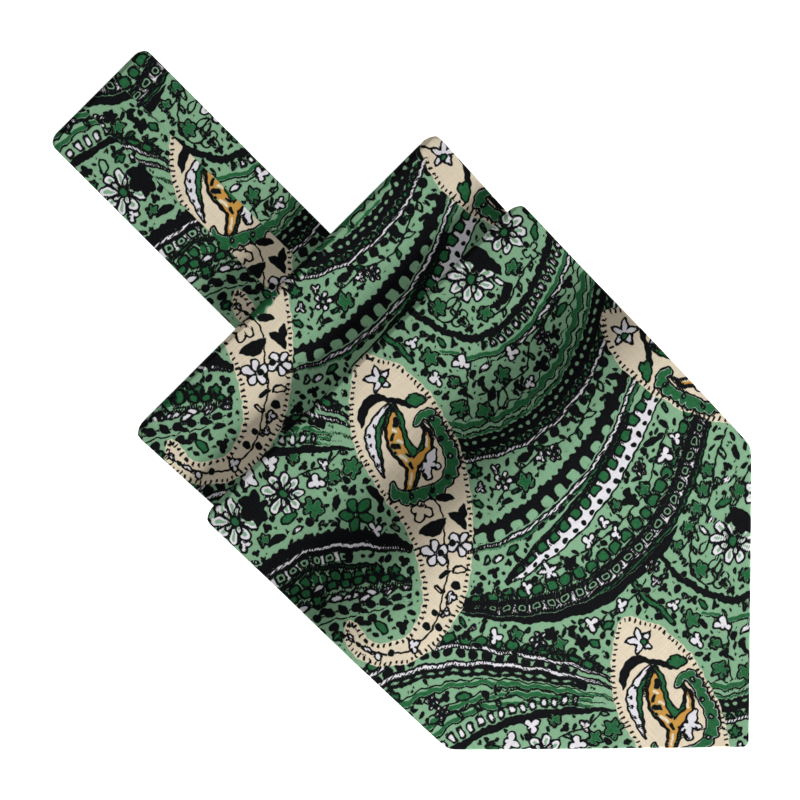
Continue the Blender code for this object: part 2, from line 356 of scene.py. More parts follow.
BANDS = (
    # The arc round the flower medallion, with its teeth and waves
    (((6, 88, 1), (16.5, 76, 1), (21.5, 67, 1), (25, 57, 1), (26.6, 47, 1), (25.6, 38, 1), (21, 31, 1),
      (12, 26.6, 1), (2, 24.4, 0.9), (-9, 25.4, 0.6)), (
        # kind, ink, low, high, pitch, size, rim, first, last
        ("rugged", "black", -1.3, 1.3, 0, 0.5, None, 0, 0),
        ("blocks", "white", 1.7, 4.5, 3.0, 1.6, 0, 9, 60),
        ("wave", "green", 5.7, 6.9, 7.0, 0.25, None, 0, 72),
        ("wave", "line", 7, 7.6, 7.0, 0.25, None, 0, 72),
        ("wave", "line", 8.5, 9.1, 7.0, 0.35, None, 0, 60),
        ("wave", "white", 7.3, 8.8, 7.0, 0.3, 0, 12, 52),
        ("wave", "line", 10.3, 10.9, 6.0, 0.5, None, 6, 46),
    )),
    # The dashed arc
    (((33, 88, 1), (42.5, 75, 1), (50, 63, 1), (55.8, 48, 1), (57.6, 34, 1), (56, 22, 1), (51, 10, 1),
      (43, 0, 1), (35, -6, 1)), (
        ("wave", "line", -9.3, -8.7, 6.0, 0.6, None, 0, 0),
        ("wave", "green", -7.9, -6.2, 7.0, 0.4, None, 0, 0),
        ("wave", "line", -6.1, -5.5, 7.0, 0.45, None, 0, 0),
        ("wave", "line", -4.5, -3.9, 7.0, 0.4, None, 0, 0),
        ("wave", "green", -3.9, -3.0, 7.0, 0.2, None, 0, 0),
        ("rugged", "black", -2.8, 2.1, 0, 0.6, None, 0, 0),
        ("beads", "ground", -1.2, -0.1, 3.3, 1.9, None, 0, 0),
        ("beads", "green", 2.2, 4.0, 3.4, 2.3, 0, 0, 0),
        ("line", "black", 4.1, 6.2, 0, 0, None, 0, 0),
        ("line", "white", 4.4, 5.9, 0, 0, 0, 0, 0),
        ("beads", "black", 6.0, 9.0, 4.3, 3.3, None, 18, 74),
    )),
    # The broad black arc with pale ovals
    (((63, 84, 0.9), (67.5, 67, 0.9), (72, 54, 1), (75.4, 43, 1), (77.6, 30, 1), (78.2, 15, 1),
      (77.4, 2, 1),
      (74.6, -8, 1), (69, -18, 0.6)), (
        ("rugged", "black", -3.6, 4.2, 0, 0.55, None, 0, 0),
        ("blocks", "ground", 0.2, 4.0, 6.3, 3.7, None, 0, 0),
        ("beads", "ground", -4.8, -2.7, 3.15, 1.9, None, 0, 0),
    )),
    # Reeds
    (((67.5, 76, 1), (72.6, 60, 1), (78.5, 46, 1), (82.4, 33, 1), (83.8, 18, 1), (82.8, 3, 1),
      (79.4, -9, 0.9),
      (72, -23, 0.5)), (
        ("line", "black", -2.0, 2.2, 0, 0, None, 0, 0),
        ("line", "ground", -1.7, -0.8, 0, 0, None, 0, 0),
        ("line", "green", 0.5, 1.6, 0, 0, None, 0, 0),
        ("line", "white", -0.9, 0.6, 0, 0, 0, 0, 0),
    )),
    # The white band with dots and leaves
    (((75, 78, 0.7), (79.6, 64, 0.9), (83.4, 52, 1), (87.4, 41, 1.05), (90.6, 29, 1.05), (92.2, 17, 1.05),
      (92.6, 5, 1), (91.6, -8, 0.7), (90.4, -19, 0.25)), (
        ("line", "white", -3.4, 2.9, 0, 0, 0, 0, 0),
        ("line", "green", -5.2, -4.2, 0, 0, 0, 26, 0),
        ("blocks", "green", -3.9, -0.7, 5.5, 3.7, 0, 0, 0),
        ("beads", "black", 0.5, 2.4, 4.4, 1.9, None, 0, 0),
    )),
    # The white band with loops
    (((93, 80, 0.7), (97.5, 69, 0.8), (103.5, 58, 0.9), (109, 47, 1), (112.9, 34, 1), (114, 20, 1),
      (113, 6, 1),
      (109.6, -6, 1), (103.5, -17, 0.9), (96, -26, 0.8), (88, -33, 0.5), (80, -39, 0.2)), (
        ("blocks", "green", -8.3, -4.7, 5.7, 4.3, 0, 0, 0),
        ("line", "ground", -3.6, -2.8, 0, 0, 0, 0, 0),
        ("line", "white", -2.0, 1.9, 0, 0, 0, 0, 0),
        ("blocks", "ground", -1.9, 0.9, 5.2, 3.6, 0, 0, 0),
        ("blocks", "black", -1.3, 0.2, 5.2, 2.0, None, 0, 0),
        ("line", "green", 2.6, 3.9, 0, 0, 0, 0, 0),
    )),
    # The fan's lines, which spring from the tail side of the lower teardrop
    (((141, -16.5, 0.5), (129, -21.5, 0.9), (115.5, -30, 1), (102, -39.5, 1), (90, -49.5, 1), (83, -62, 1),
      (78, -80, 1)), (
        ("line", "black", -1.0, 1.0, 0, 0, None, 0, 0),
        ("line", "white", -0.75, 0.75, 0, 0, 0, 0, 0),
        ("beads", "black", 0.8, 3.9, 4.6, 3.8, None, 14, 0),
        ("beads", "green", -4.1, -1.0, 5.4, 4.2, 0, 6, 0),
    )),
    (((143, -18, 0.5), (130, -25, 0.9), (115, -35, 1), (101, -47, 1), (91.5, -58, 1), (85, -70, 1),
      (82, -82, 1)), (
        ("line", "black", -1.2, 1.2, 0, 0, None, 0, 0),
        ("line", "white", -0.8, 0.8, 0, 0, 0, 0, 0),
        ("rugged", "black", 0.9, 4.3, 0, 0.3, None, 10, 0),
        ("beads", "ground", 2.2, 3.1, 4.4, 3.0, None, 14, 0),
    )),
    (((145, -20.5, 0.3), (131, -29.5, 0.8), (115.5, -41, 1), (103, -53, 1.1), (95.5, -65, 1.2),
      (91, -82, 1.2)), (
        ("wave", "line", -0.3, 0.3, 5.0, 0.25, None, 0, 0),
        ("wave", "green", 0.6, 2.0, 6.0, 0.3, None, 0, 0),
        ("wave", "line", 2.1, 2.7, 6.0, 0.3, None, 0, 0),
    )),
    (((147, -22, 0.3), (133, -33, 0.7), (119, -46, 1), (110.5, -58, 1.1), (107.5, -70, 1.2),
      (107, -82, 1.2)), (
        ("wave", "line", -2.9, -2.3, 6.0, 0.4, None, 8, 0),
        ("wave", "green", -1.9, -0.4, 6.0, 0.3, None, 8, 0),
        ("wave", "line", -0.3, 0.3, 6.0, 0.4, None, 4, 0),
        ("wave", "green", 1.4, 2.6, 7.0, 0.25, None, 8, 0),
        ("wave", "line", 2.7, 3.3, 7.0, 0.3, None, 8, 0),
    )),
    (((148.5, -23, 0.3), (139, -32.5, 1), (129, -45, 1.1), (122, -58, 1.1), (118.5, -70, 1.1),
      (117, -82, 1)), (
        ("rugged", "black", -1.3, 1.3, 0, 0.3, None, 0, 0),
        ("blocks", "white", -4.9, -1.9, 3.6, 2.0, 0, 14, 0),
    )),
    # The arc below the upper teardrop, and the leaf that it bounds
    (((60.5, -32, 0.3), (53, -36, 0.9), (44.6, -42, 1.1), (36.4, -51, 1.1), (30.4, -62, 1), (26.6, -82, 1)),
     (
        ("rugged", "black", -2.2, 2.2, 0, 0.8, None, 0, 0),
        ("line", "black", 2.9, 4.6, 0, 0, None, 4, 0),
        ("line", "black", 4.4, 8.2, 0, 0, None, 23, 0),
        ("line", "white", 2.1, 3.6, 0, 0, 0, 2, 0),
        ("line", "white", 4.9, 7.8, 0, 0, None, 27, 0),
        ("blocks", "ground", 4.7, 7.7, 5.4, 3.6, 0, 26, 0),
        ("blocks", "black", 5.5, 6.9, 5.4, 1.6, None, 26, 0),
        ("line", "green", 8.7, 9.7, 0, 0, 0, 12, 0),
        ("blocks", "green", 10.6, 14.0, 5.2, 3.8, 0, 10, 0),
    )),
    # The leaf's rows of beads
    (((43, -80, 1), (47.5, -70, 1), (53, -60, 1), (60, -50, 0.9), (67, -42, 0.6)), (
        ("blocks", "green", 1.2, 3.8, 4.6, 3.4, 0, 2, 0),
        ("wave", "line", -0.4, 0.2, 5.0, 0.25, None, 0, 0),
        ("beads", "white", -3.4, -1.0, 6.2, 4.6, 0, 4, 0),
        ("line", "line", -6.5, -5.9, 0, 0, None, 2, 0),
        ("beads", "black", -7.8, -4.6, 5.0, 3.8, None, 2, 0),
        ("wave", "line", -9.2, -8.6, 5.0, 0.25, None, 4, 0),
        ("beads", "black", -12.4, -9.8, 5.0, 3.8, None, 8, 0),
    )),
)

HEAVY_ARC = (
    # s, x, half width
    (117.4, 37, 0.3), (119.4, 28, 1.6), (119.8, 18, 1.6), (119, 8, 1.5), (117.6, 0, 2.3), (114, -8, 1.9),
    (109.5, -16, 1.5), (103, -24, 1.2), (96, -30, 0.9), (88, -36, 0.5), (82, -40, 0.3),
)


# The teardrop, in its own millimetres

TEARDROP = (
    # s, x: its outline, from the nose round to the tail and back
    (-0.6, -0.8), (3.6, 4.6), (10, 7.6), (20, 8.9), (30, 7.7), (40, 5), (50, 0.6), (60, -6), (70, -15),
    (80, -27),
    (85.8, -38), (87.9, -50), (86.6, -60), (81.4, -68.4), (73, -73.2), (64.6, -72.2), (60.4, -67),
    (63.4, -64.8),
    (70, -66.2), (76, -61.6), (78.2, -54), (75.4, -45.4), (68, -38.6), (58, -32.4), (48, -29.4),
    (36, -27.6),
    (24, -24.4), (14, -19.2), (6, -11.4),
)
TICK = (1.95, 0.78, 1.6, 0.25)       # spacing, width, length, inset from the edge

TEARDROP_FORMS = (
    # ink, rim, strokes of s, x, half width
    ("black", None, (((17.4, -3, 0.6), (13.8, -4.6, 1.3), (12.8, -9, 1.7), (14.4, -13.4, 1.6),
                      (17.6, -16.6, 0.3)),)),
    ("black", None, (((16.6, -3.2, 1), (20, -1.4, 1.2), (23.4, 1.2, 1.0)),)),
    ("green", 0.0, (((22, 1.6, 1.2), (24, 3.6, 1.9), (25.6, 5.2, 0.9)), ((22.4, 4.4, 1.2),
                                                                         (21, 3.2, 0.8)))),
    ("white", 0.0, (((18, -4.6, 0.7), (18.8, -11, 1.4), (22, -17, 1.9), (28, -20.6, 1.4),
                     (35, -23, 0.2)),)),
    ("green", 0.0, (((19, -4.4, 0.3), (20.6, -11, 0.9), (25, -16.4, 0.9), (33, -21.4, 0.2)),)),
    ("line", None, (((19.4, -13.4, 0.4), (20, -13.8, 0.4)), ((21, -16.6, 0.45), (21.6, -17, 0.45)),
                    ((23.6, -18.8, 0.45), (24.2, -19.2, 0.45)), ((26.6, -20.4, 0.4), (27.2, -20.6, 0.4)),
                    ((29.8, -21.4, 0.35), (30.4, -21.6, 0.35)))),
    ("green", 0.0, (((19.4, -3.4, 0.4), (23, -6.6, 3.0), (27.6, -10.2, 3.6), (33, -12.6, 3.4),
                     (38.4, -13, 3.0),
                     (42, -16.6, 2.4), (43.6, -21, 1.2)),
                    ((31, -0.8, 0.3), (35.4, -2.6, 1.5), (38, -6.4, 2.1), (38, -11, 2.8)),
                    ((27, -8, 1), (31, -9, 1.2), (35, -9.4, 1.6)))),
    ("gold", 0.0, (((20.4, -4.4, 0.3), (24, -7.8, 1.9), (28, -11, 2.6), (33, -13, 2.3), (38.6, -13.4, 1.9),
                    (42, -17, 1.5), (43.4, -21, 0.5)),
                   ((32.6, -1.4, 0.2), (36.2, -3.2, 0.9), (38.7, -6.6, 1.2), (38.9, -11, 1.8)))),
    ("black", None, (((23.6, -6.4, 1), (25, -7.6, 1.1)), ((26.6, -10.6, 0.6), (27.6, -12.4, 0.7)),
                     ((29.6, -13.4, 0.8), (31, -12.2, 0.8)), ((34, -12.4, 0.4), (36, -11.4, 0.7)),
                     ((37.8, -13.2, 0.8), (39, -13.8, 0.7)), ((31.2, -14.6, 0.5), (32, -14.8, 0.5)))),
    ("cream", None, (((25.4, -9.4, 0.5), (26.6, -9.2, 0.5)), ((29.4, -11.2, 0.6), (31, -10.4, 0.4)),
                     ((33.6, -14.2, 0.7), (36, -13.6, 0.6)), ((35.2, -2.8, 0.3), (37.8, -5.4, 0.5)),
                     ((40.6, -15.2, 0.5), (42.6, -18, 0.5)))),
    ("white", 0.0, (((40.4, -4.6, 1.0), (41.4, -6.8, 1.6), (42, -10, 1.2)), ((44.8, -7.4, 1.4),
                                                                             (43, -8.6, 1.2)),
                    ((45.2, -12.2, 1.4), (43, -10.4, 1.2)), ((41.8, -12.4, 0.8), (42.8, -10, 1)))),
    ("line", None, (((44.4, -8.2, 0.5), (44.8, -8.4, 0.5)), ((44.6, -12.6, 0.5), (45, -12.8, 0.5)),
                    ((41, -9, 0.5), (41.4, -9.2, 0.5)))),
)

SCALLOP_PITCH = 3.1
SCALLOP_RADIUS = 1.5
SCALLOP_RIM = 0.45
PEARL_PITCH = 7.3
PEARL_RADIUS = 0.7
CRESCENT = (
    # s, x, half width: the scalloped leaf that curls round the flame
    (29.4, -1.6, 0.9), (29, 1.6, 1.2), (33, 2.6, 1.3), (38, 0.9, 1.2), (43, -0.4, 1.3), (47.6, -3, 1.5),
    (50.4, -8, 1.5), (50, -13.6, 1.5), (47.6, -18.4, 1.4), (44.6, -22.6, 1.3), (41, -24.4, 1.0),
    (39.2, -22.8, 0.5),
)

TAIL_VINE_WIDTH = 0.34
TAIL_VINE = ((50, -16.4), (56, -16.8), (61, -20), (66, -25), (71, -28), (74.4, -32), (77.4, -37.4),
             (80.4, -42), (83, -49),
             (83.4, -56), (80.6, -62.4), (76.6, -66.6), (71, -69.4), (64.4, -70))

TEARDROP_FLOWERS = (
    # kind, s, x, radius, turn
    ("white star", 9.4, -0.6, 5.0, 12), ("green disc", 10.2, 0.4, 1.2, 0),
    ("black leaf", 54.4, -13.4, 3.6, 40), ("cream trefoil", 52.4, -22.4, 3.9, -60),
    ("black leaf", 58.6, -23, 5.4, -100), ("black leaf", 63, -15.6, 4.0, 8),
    ("black leaf", 62, -13, 3.4, -60), ("white bloom", 69.2, -20.8, 4.5, 36),
    ("white bloom", 65.6, -29, 4.9, 72), ("black disc", 67.4, -22.6, 1.2, 0),
    ("black disc", 66.4, -27.4, 1.3, 0), ("cream leaf", 75.4, -27.4, 2.6, 70),
    ("black leaf", 72.8, -31.8, 2.6, 80), ("black disc", 78.4, -32, 1.5, 0),
    ("white trefoil", 80, -36.2, 2.3, 40), ("cream leaf", 74.8, -36.8, 1.6, 10),
    ("white trefoil", 82.2, -41, 2.0, 10), ("black disc", 79.4, -43.6, 1.3, 0),
    ("black disc", 84, -46, 1.4, 0), ("black disc", 81.2, -49, 1.3, 0), ("black disc", 79.2, -64, 1.1, 0),
    ("white trefoil", 82.6, -56.6, 2.6, 70), ("white disc", 76.4, -67.6, 1.2, 0),
    ("white leaf", 72.4, -69.4, 1.9, 15), ("black leaf", 69, -69.8, 1.5, 0),
    ("white leaf", 65.4, -70, 1.7, 5),
)


# Small motifs, as strokes round a middle of 0, 0 that reach out to 1

def petal_ring(count, inner, width):
    """Petals all round, each a stroke from the middle outward."""
    petals = []
    for k in range(count):
        angle = 2 * math.pi * k / count
        c, d = math.cos(angle), math.sin(angle)
        petals.append([(inner * c, inner * d, 0.4 * width), (0.65 * c, 0.65 * d, width),
                       ((1 - width) * c, (1 - width) * d, width * 0.9)])
    return petals


def pointed_ring(count, width):
    """Pointed rays all round."""
    petals = []
    for k in range(count):
        angle = 2 * math.pi * k / count
        c, d = math.cos(angle), math.sin(angle)
        petals.append([(0, 0, 0.7 * width), (0.55 * c, 0.55 * d, width), (0.97 * c, 0.97 * d, 0.03)])
    return petals


FORMS = {
    "disc": [[(0, 0, 1.0), (0.02, 0, 1.0)]],
    "leaf": [[(-1, 0, 0.04), (-0.4, 0.1, 0.38), (0.3, 0.08, 0.42), (1, -0.12, 0.04)]],
    "oval": [[(-0.6, 0, 0.25), (0, 0.06, 0.42), (0.6, 0, 0.3)]],
    "trefoil": [[(-0.4, 0, 0.2), (0.5, 0, 0.42)], [(0, 0, 0.2), (-0.1, 0.58, 0.38)], [(0, 0, 0.2),
                                                                                      (-0.1, -0.58, 0.38)]],
    "lobed": [[(-0.8, 0, 0.12), (0.1, 0, 0.42), (0.6, 0, 0.36), (0.98, 0, 0.05)],
              [(0, 0, 0.25), (0.2, 0.5, 0.34), (0.3, 0.86, 0.12)],
              [(0, 0, 0.25), (0.2, -0.5, 0.34), (0.3, -0.86, 0.12)],
              [(-0.3, 0, 0.2), (-0.5, 0.5, 0.26)], [(-0.3, 0, 0.2), (-0.5, -0.5, 0.26)]],
    "bloom": petal_ring(5, 0.1, 0.31),
    "star": pointed_ring(5, 0.24),
    "twig": [[(-1, 0, 0.06), (0, 0.05, 0.1), (0.4, 0, 0.34), (0.95, 0, 0.05)], [(-0.2, 0, 0.05),
                                                                                (0.1, 0.45, 0.26),
                                                                                (0.3, 0.85, 0.05)],
             [(-0.4, 0, 0.05), (-0.2, -0.42, 0.24), (0.05, -0.8, 0.05)]],
}
BLOOM_VEINS = [[(reach * math.cos(angle), reach * math.sin(angle), 0.02) for reach in (0.16, 0.6)]
               for angle in np.radians(36 + 72 * np.arange(5))]


def turned(rows, s, x, size, degrees, flip=1):
    """Scale, turn and move a motif's rows; flip -1 mirrors it across the scarf."""
    c, d = math.cos(math.radians(degrees)), math.sin(math.radians(degrees))
    return [(s + size * (c * a - d * b), x + flip * size * (d * a + c * b), size * w) for a, b, w in rows]


KINDS = {ink + " " + form: (form, ink, None if ink == "black" else 0)
         for form in FORMS for ink in INKS + ("ground",)}
KINDS["rimmed lobed"] = ("lobed", "green", 0.4)


def motif(canvas, kind, s, x, radius, degrees, flip=1):
    """One small figure, such as a black leaf. A black one has no outline."""
    form, ink, rim = KINDS[kind]
    canvas.strokes(ink, [turned(rows, s, x, radius, degrees, flip) for rows in FORMS[form]], rim)
    if form == "bloom" and radius > 2.0:
        veins = [turned(rows, s, x, radius, degrees, flip) for rows in BLOOM_VEINS]
        canvas.strokes("line", [[(a, b, LINE / 2) for a, b, _ in rows] for rows in veins], None)


def daisy(canvas, s, x, radius, degrees):
    """White petals, each outlined, round a heart of bare ground."""
    for rows in petal_ring(5, 0.34, 0.27):
        canvas.strokes("white", [turned(rows, s, x, radius, degrees)], 0)
    motif(canvas, "ground disc", s, x, 0.26 * radius, 0)


def medallion_flower(canvas, s, x, radius, degrees):
    """A large open flower: looped white petals, short inner ones and a green heart."""
    for count, reach, width, turn in ((9, 1.0, 0.2, 0), (5, 0.6, 0.18, 22)):
        for rows in petal_ring(count, 0.3, width):
            place = turned(rows, s, x, reach * radius, degrees + turn)
            canvas.strokes("white", [place], 0)
            mid_s, mid_x, _ = np.mean(place, axis=0)
            slim = [(mid_s + 0.72 * (a - mid_s), mid_x + 0.72 * (b - mid_x), 0.36 * w) for a, b, w in place]
            canvas.strokes("ground", [slim], None)
    motif(canvas, "green disc", s, x, 0.2 * radius, 0)


TEARDROPS = (
    # s and x of the nose, -1 where it is mirrored across the scarf
    ((0.0, 0.0), 1), ((48.6, 70.0), -1),
)

MEDALLIONS = (
    # s, x, radius, turn
    (4.2, 66, 7.8, 5), (7.4, 46.5, 8.4, 20), (14, -52, 7.8, 10), (9, -70, 8.4, 30),
)

DAISIES = (
    # s, x, radius, turn
    (39.4, 49.6, 2.7, 0), (44.4, 48.8, 2.6, 30), (101.2, -66, 2.8, 0), (105.8, -66, 2.8, 30),
    (111.6, -25, 3.0, 10),
    (94.6, 41, 2.6, 20), (70, 24, 3.0, 10), (64.6, 5, 3.6, 50), (121.6, 20.6, 2.8, 0),
)

MOTIFS = (
    # kind, s, x, radius, turn
    ("black leaf", 4, 53.4, 6.0, -4), ("black leaf", 9, 54, 5.0, 20), ("black trefoil", 1.4, 52, 3.6, 0),
    ("black trefoil", 6, 51, 2.9, 0), ("black leaf", 19.4, 51, 4.0, -60), ("black leaf", 18, 53.4, 3.0, 10),
    ("rimmed lobed", 15, 59.4, 3.0, 200), ("rimmed lobed", 19.4, 41.4, 2.9, 30),
    ("black trefoil", 19.6, 46, 2.6, 0), ("ground trefoil", 14.8, 34, 3.4, 10),
    ("black trefoil", 15.4, 34, 1.9, 0), ("rimmed lobed", 6.4, 31.4, 3.4, 70),
    ("ground trefoil", 15, 68, 3.2, 0), ("black disc", 12.4, 68, 1.3, 0), ("black trefoil", 19, 34, 2.2, 0),
    ("white leaf", 15, 52.6, 2.4, 20), ("ground leaf", 9, 36, 2.6, 80), ("ground leaf", 2, 38, 2.6, 100),
    ("green oval", 37, 61, 3.4, 100), ("black trefoil", 32, 69, 2.8, 0),
    ("black trefoil", 41.4, 53.4, 2.6, 0), ("black trefoil", 45.8, 42.4, 3.5, 0),
    ("white trefoil", 35.6, 38, 3.0, 60), ("white trefoil", 47, 35.6, 2.6, 10),
    ("black twig", 45.8, 30.6, 3.6, 60), ("rimmed lobed", 38.4, 31, 3.1, 80),
    ("ground leaf", 44, 25, 3.6, -50), ("black leaf", 40.6, 23, 3.2, -60),
    ("rimmed lobed", 43.4, 17.6, 3.1, 250), ("rimmed lobed", 36.4, 12, 3.4, 190),
    ("black trefoil", 33, 17, 2.3, 0), ("black twig", 34.4, 23, 3.4, 10),
    ("white trefoil", 25.8, 23.4, 3.4, 130), ("white trefoil", 23.2, 13.6, 3.0, 250),
    ("rimmed lobed", 16.6, 17, 3.4, 10), ("white trefoil", 8.4, 16.6, 2.8, -20),
    ("black trefoil", 2, 17.6, 2.2, 0), ("black trefoil", 12.2, 22, 2.2, 0),
    ("black disc", 5.6, 21.4, 1.5, 0), ("green oval", 15.6, 23.8, 2.4, 0),
    ("rimmed lobed", 28.8, 17, 2.4, 90), ("black leaf", 20.4, 19, 2.6, 10),
    ("black trefoil", 30, 12, 1.9, 0), ("white leaf", 33, 28, 2.2, 80), ("black disc", 31, 24, 1.4, 0),
    # Between the two upper bands
    ("black twig", 66, 38, 3.8, 60), ("ground leaf", 69, 42, 2.6, 70), ("black leaf", 64, 16, 3.2, 80),
    ("rimmed lobed", 70, 10.4, 3.6, 240), ("white trefoil", 68, 20, 2.2, 240),
    ("green oval", 64, -6.6, 2.2, 10), ("black leaf", 70.4, 1, 2.4, 60), ("black trefoil", 69, 50, 2.2, 0),
    ("black leaf", 66, 57, 3.0, 60),
    # Between the two white bands
    ("white trefoil", 95.6, 57.2, 2.8, 100), ("black leaf", 91, 50.6, 3.6, 70),
    ("white trefoil", 97.4, 50.2, 3.4, 20), ("rimmed lobed", 100.6, 37, 2.9, 90),
    ("black trefoil", 99.6, 31.6, 3.9, 260), ("rimmed lobed", 97.4, 26.4, 2.6, 80),
    ("white trefoil", 99, 19, 2.5, 60), ("white trefoil", 104.4, 20, 2.6, 250),
    ("white trefoil", 99.8, 11.4, 3.0, 200), ("black disc", 104, 14, 1.3, 0),
    ("black twig", 102.6, 6.6, 2.6, 20), ("black lobed", 101, 1, 3.0, 100),
    ("white star", 97.4, -6, 4.0, 90), ("white trefoil", 96, -15, 2.6, 80),
    ("black disc", 96, -11.4, 1.4, 0), ("black leaf", 96.4, 37.6, 2.2, 75),
    ("black leaf", 103, 45, 2.0, 100), ("black leaf", 89.6, 57.4, 2.4, 10), ("black leaf", 92, 33, 1.8, 20),
    ("black leaf", 99.6, 54.6, 2.4, 120),
    # Below the reeds
    ("green oval", 83.6, -9.6, 2.4, 90), ("white leaf", 82, -15, 2.2, 80), ("black leaf", 85, 8, 1.9, 90),
    ("black leaf", 85.2, 12.6, 1.9, 90), ("black leaf", 85, 3.2, 1.9, 90),
    ("black leaf", 84.8, 17, 1.7, 90), ("black leaf", 84.4, -2.6, 1.9, 90),
    ("black trefoil", 84.4, -27.6, 2.9, 0), ("black twig", 89, -23.4, 2.4, 20),
    # Right of the looped band
    ("rimmed lobed", 111, 57.4, 3.0, 70), ("rimmed lobed", 114.8, 51.4, 3.0, 70),
    ("rimmed lobed", 118, 45, 2.9, 80), ("rimmed lobed", 121, 38.4, 2.8, 90),
    ("rimmed lobed", 122.6, 31.6, 2.6, 100), ("green oval", 123.6, 53, 3.2, 80),
    ("rimmed lobed", 124, 60, 3.2, 80), ("white leaf", 118.6, 59.4, 2.2, 80),
    ("white leaf", 124.4, 46, 2.0, 60), ("black leaf", 125.4, 13, 2.4, 70),
    ("white trefoil", 123.4, 3.6, 2.7, 60), ("white trefoil", 120.6, -8.4, 3.2, 80),
    ("green oval", 125.2, -4.6, 2.6, 80), ("black twig", 117, -15.6, 3.6, 0),
    ("black lobed", 122.6, -15, 3.2, 30), ("rimmed lobed", 117.6, -21, 3.0, 60),
    ("black lobed", 113.4, -20.4, 3.0, 200), ("green oval", 126.4, -12.4, 2.6, 10),
    # Along the fan
    ("white trefoil", 100, -34.8, 3.2, 40), ("rimmed lobed", 104.8, -29.4, 2.8, 70),
    ("black trefoil", 92.6, -41, 2.6, 0), ("white trefoil", 92.4, -38, 1.6, 0),
    ("black leaf", 98, -41.6, 2.4, 20), ("black twig", 113.4, -47.6, 2.6, 60),
    ("green oval", 107, -57, 3.2, 60), ("black trefoil", 102.8, -61.6, 2.4, 0),
    ("black twig", 98, -73, 2.6, 50), ("black disc", 111.8, -51.4, 1.4, 0),
    # Left of the lower arc
    ("rimmed lobed", 24.4, -28.4, 4.0, 190), ("rimmed lobed", 22.4, -35.6, 2.9, 100),
    ("rimmed lobed", 25, -48, 4.1, 30), ("black leaf", 37, -29.6, 4.2, 5),
    ("black trefoil", 30, -33.8, 2.3, 0), ("green bloom", 37, -38.6, 6.0, 18),
    ("ground disc", 37, -38.6, 0.9, 0), ("black leaf", 29.6, -41, 3.0, 130),
    ("black disc", 41.4, -31.4, 1.5, 0), ("black twig", 34.6, -45.8, 2.8, 250),
    ("white trefoil", 45.4, -38, 3.0, 80), ("white trefoil", 19.4, -41, 3.4, 150),
    ("white trefoil", 16.6, -34.6, 2.4, 80), ("rimmed lobed", 7.6, -40.6, 2.8, 90),
    ("black trefoil", 12.4, -40, 1.9, 0), ("white trefoil", 3.6, -47.6, 3.4, 80),
    ("white trefoil", 2.4, -57, 3.6, 20), ("black lobed", 10, -62, 5.6, 200),
    ("black lobed", 12.6, -63.4, 4.4, 30), ("green oval", 21.4, -56.4, 3.8, 80),
    ("black leaf", 24.2, -64.6, 3.6, 80), ("rimmed lobed", 20.6, -67.6, 2.6, 80),
    ("white leaf", 26.4, -57, 2.2, 80), ("white trefoil", 17.4, -74, 2.6, 60),
    ("black disc", 27.6, -52.4, 1.5, 0), ("ground leaf", 50, -33, 1.9, 10), ("black disc", 26, -33, 1.5, 0),
    # Inside the leaf
    ("green lobed", 55, -47, 2.2, 60), ("green lobed", 60, -43.4, 2.2, 60), ("green oval", 70, -60, 3.6, 0),
    ("white leaf", 60, -57, 2.2, 80), ("white leaf", 55, -61, 2.0, 80), ("black leaf", 66, -53, 2.2, 40),
    ("black leaf", 70, -51, 2.4, 60), ("black leaf", 62, -61, 2.4, 30), ("black leaf", 57, -65, 2.4, 20),
    ("white leaf", 64, -50, 1.8, 70), ("white leaf", 46, -66, 2.4, 80), ("green lobed", 49, -69, 2.6, 200),
    ("black leaf", 53, -70, 2.2, 60), ("black leaf", 74, -49, 2.0, 30), ("black leaf", 66, -63, 2.0, 60),
)

STRIP_PITCH = 3.2
STRIP_HALF_WIDTH = 0.9
STRIP_DISC = 1.2
STRIPS = (
    # Each a strip with discs on both sides, in rows of s, x
    ((0, 12), (6, 11.6), (13, 12)),
    ((121.5, 12), (127, 11.4), (133, 12), (140, 12)),
)

VINE_WIDTH = 0.32
VINES = (
    # stem, leaf reach, spacing, inks of the leaves in turn
    (((19.4, 72), (17.6, 65), (19.4, 58), (22.6, 49), (21, 41)), 1.5, 4.6, "black ground"),
    (((-6, 40), (-1, 34), (6, 28), (13, 31), (11, 38)), 1.5, 5.0, "black ground"),
    (((33, 64), (36, 54), (38, 44), (43, 38), (42, 28), (38, 20)), 1.7, 4.2, "ground black green"),
    (((24, 27), (30, 22), (36, 16), (41, 13)), 1.6, 4.0, "black ground green"),
    (((61, 58), (66, 46), (70, 34), (67, 24), (66, 12), (68, -2)), 1.8, 4.4, "black ground green"),
    (((91, 58), (97, 46), (101, 38), (103, 26), (102, 12), (99, -2),
      (97, -14)), 1.6, 4.4, "black ground green"),
    (((106, 72), (111, 62), (118, 53), (121, 43), (125, 33)), 1.9, 5.0, "black ground"),
    (((120, 75), (122, 66), (127, 56), (130, 48)), 1.7, 4.2, "ground green"),
    (((123, 16), (124.6, 8), (122, -1), (124, -10)), 1.5, 4.0, "black ground"),
    (((13, -44), (16, -37), (18, -31), (17, -26)), 1.6, 3.6, "ground black"),
    (((106, -36), (114, -28), (124, -21), (133, -16)), 1.7, 4.0, "black green"),
    (((86, -22), (92, -22), (98, -18)), 1.5, 3.4, "ground black"),
    (((103, -78), (108, -66), (112, -57), (120, -44)), 1.4, 3.6, "ground black"),
)

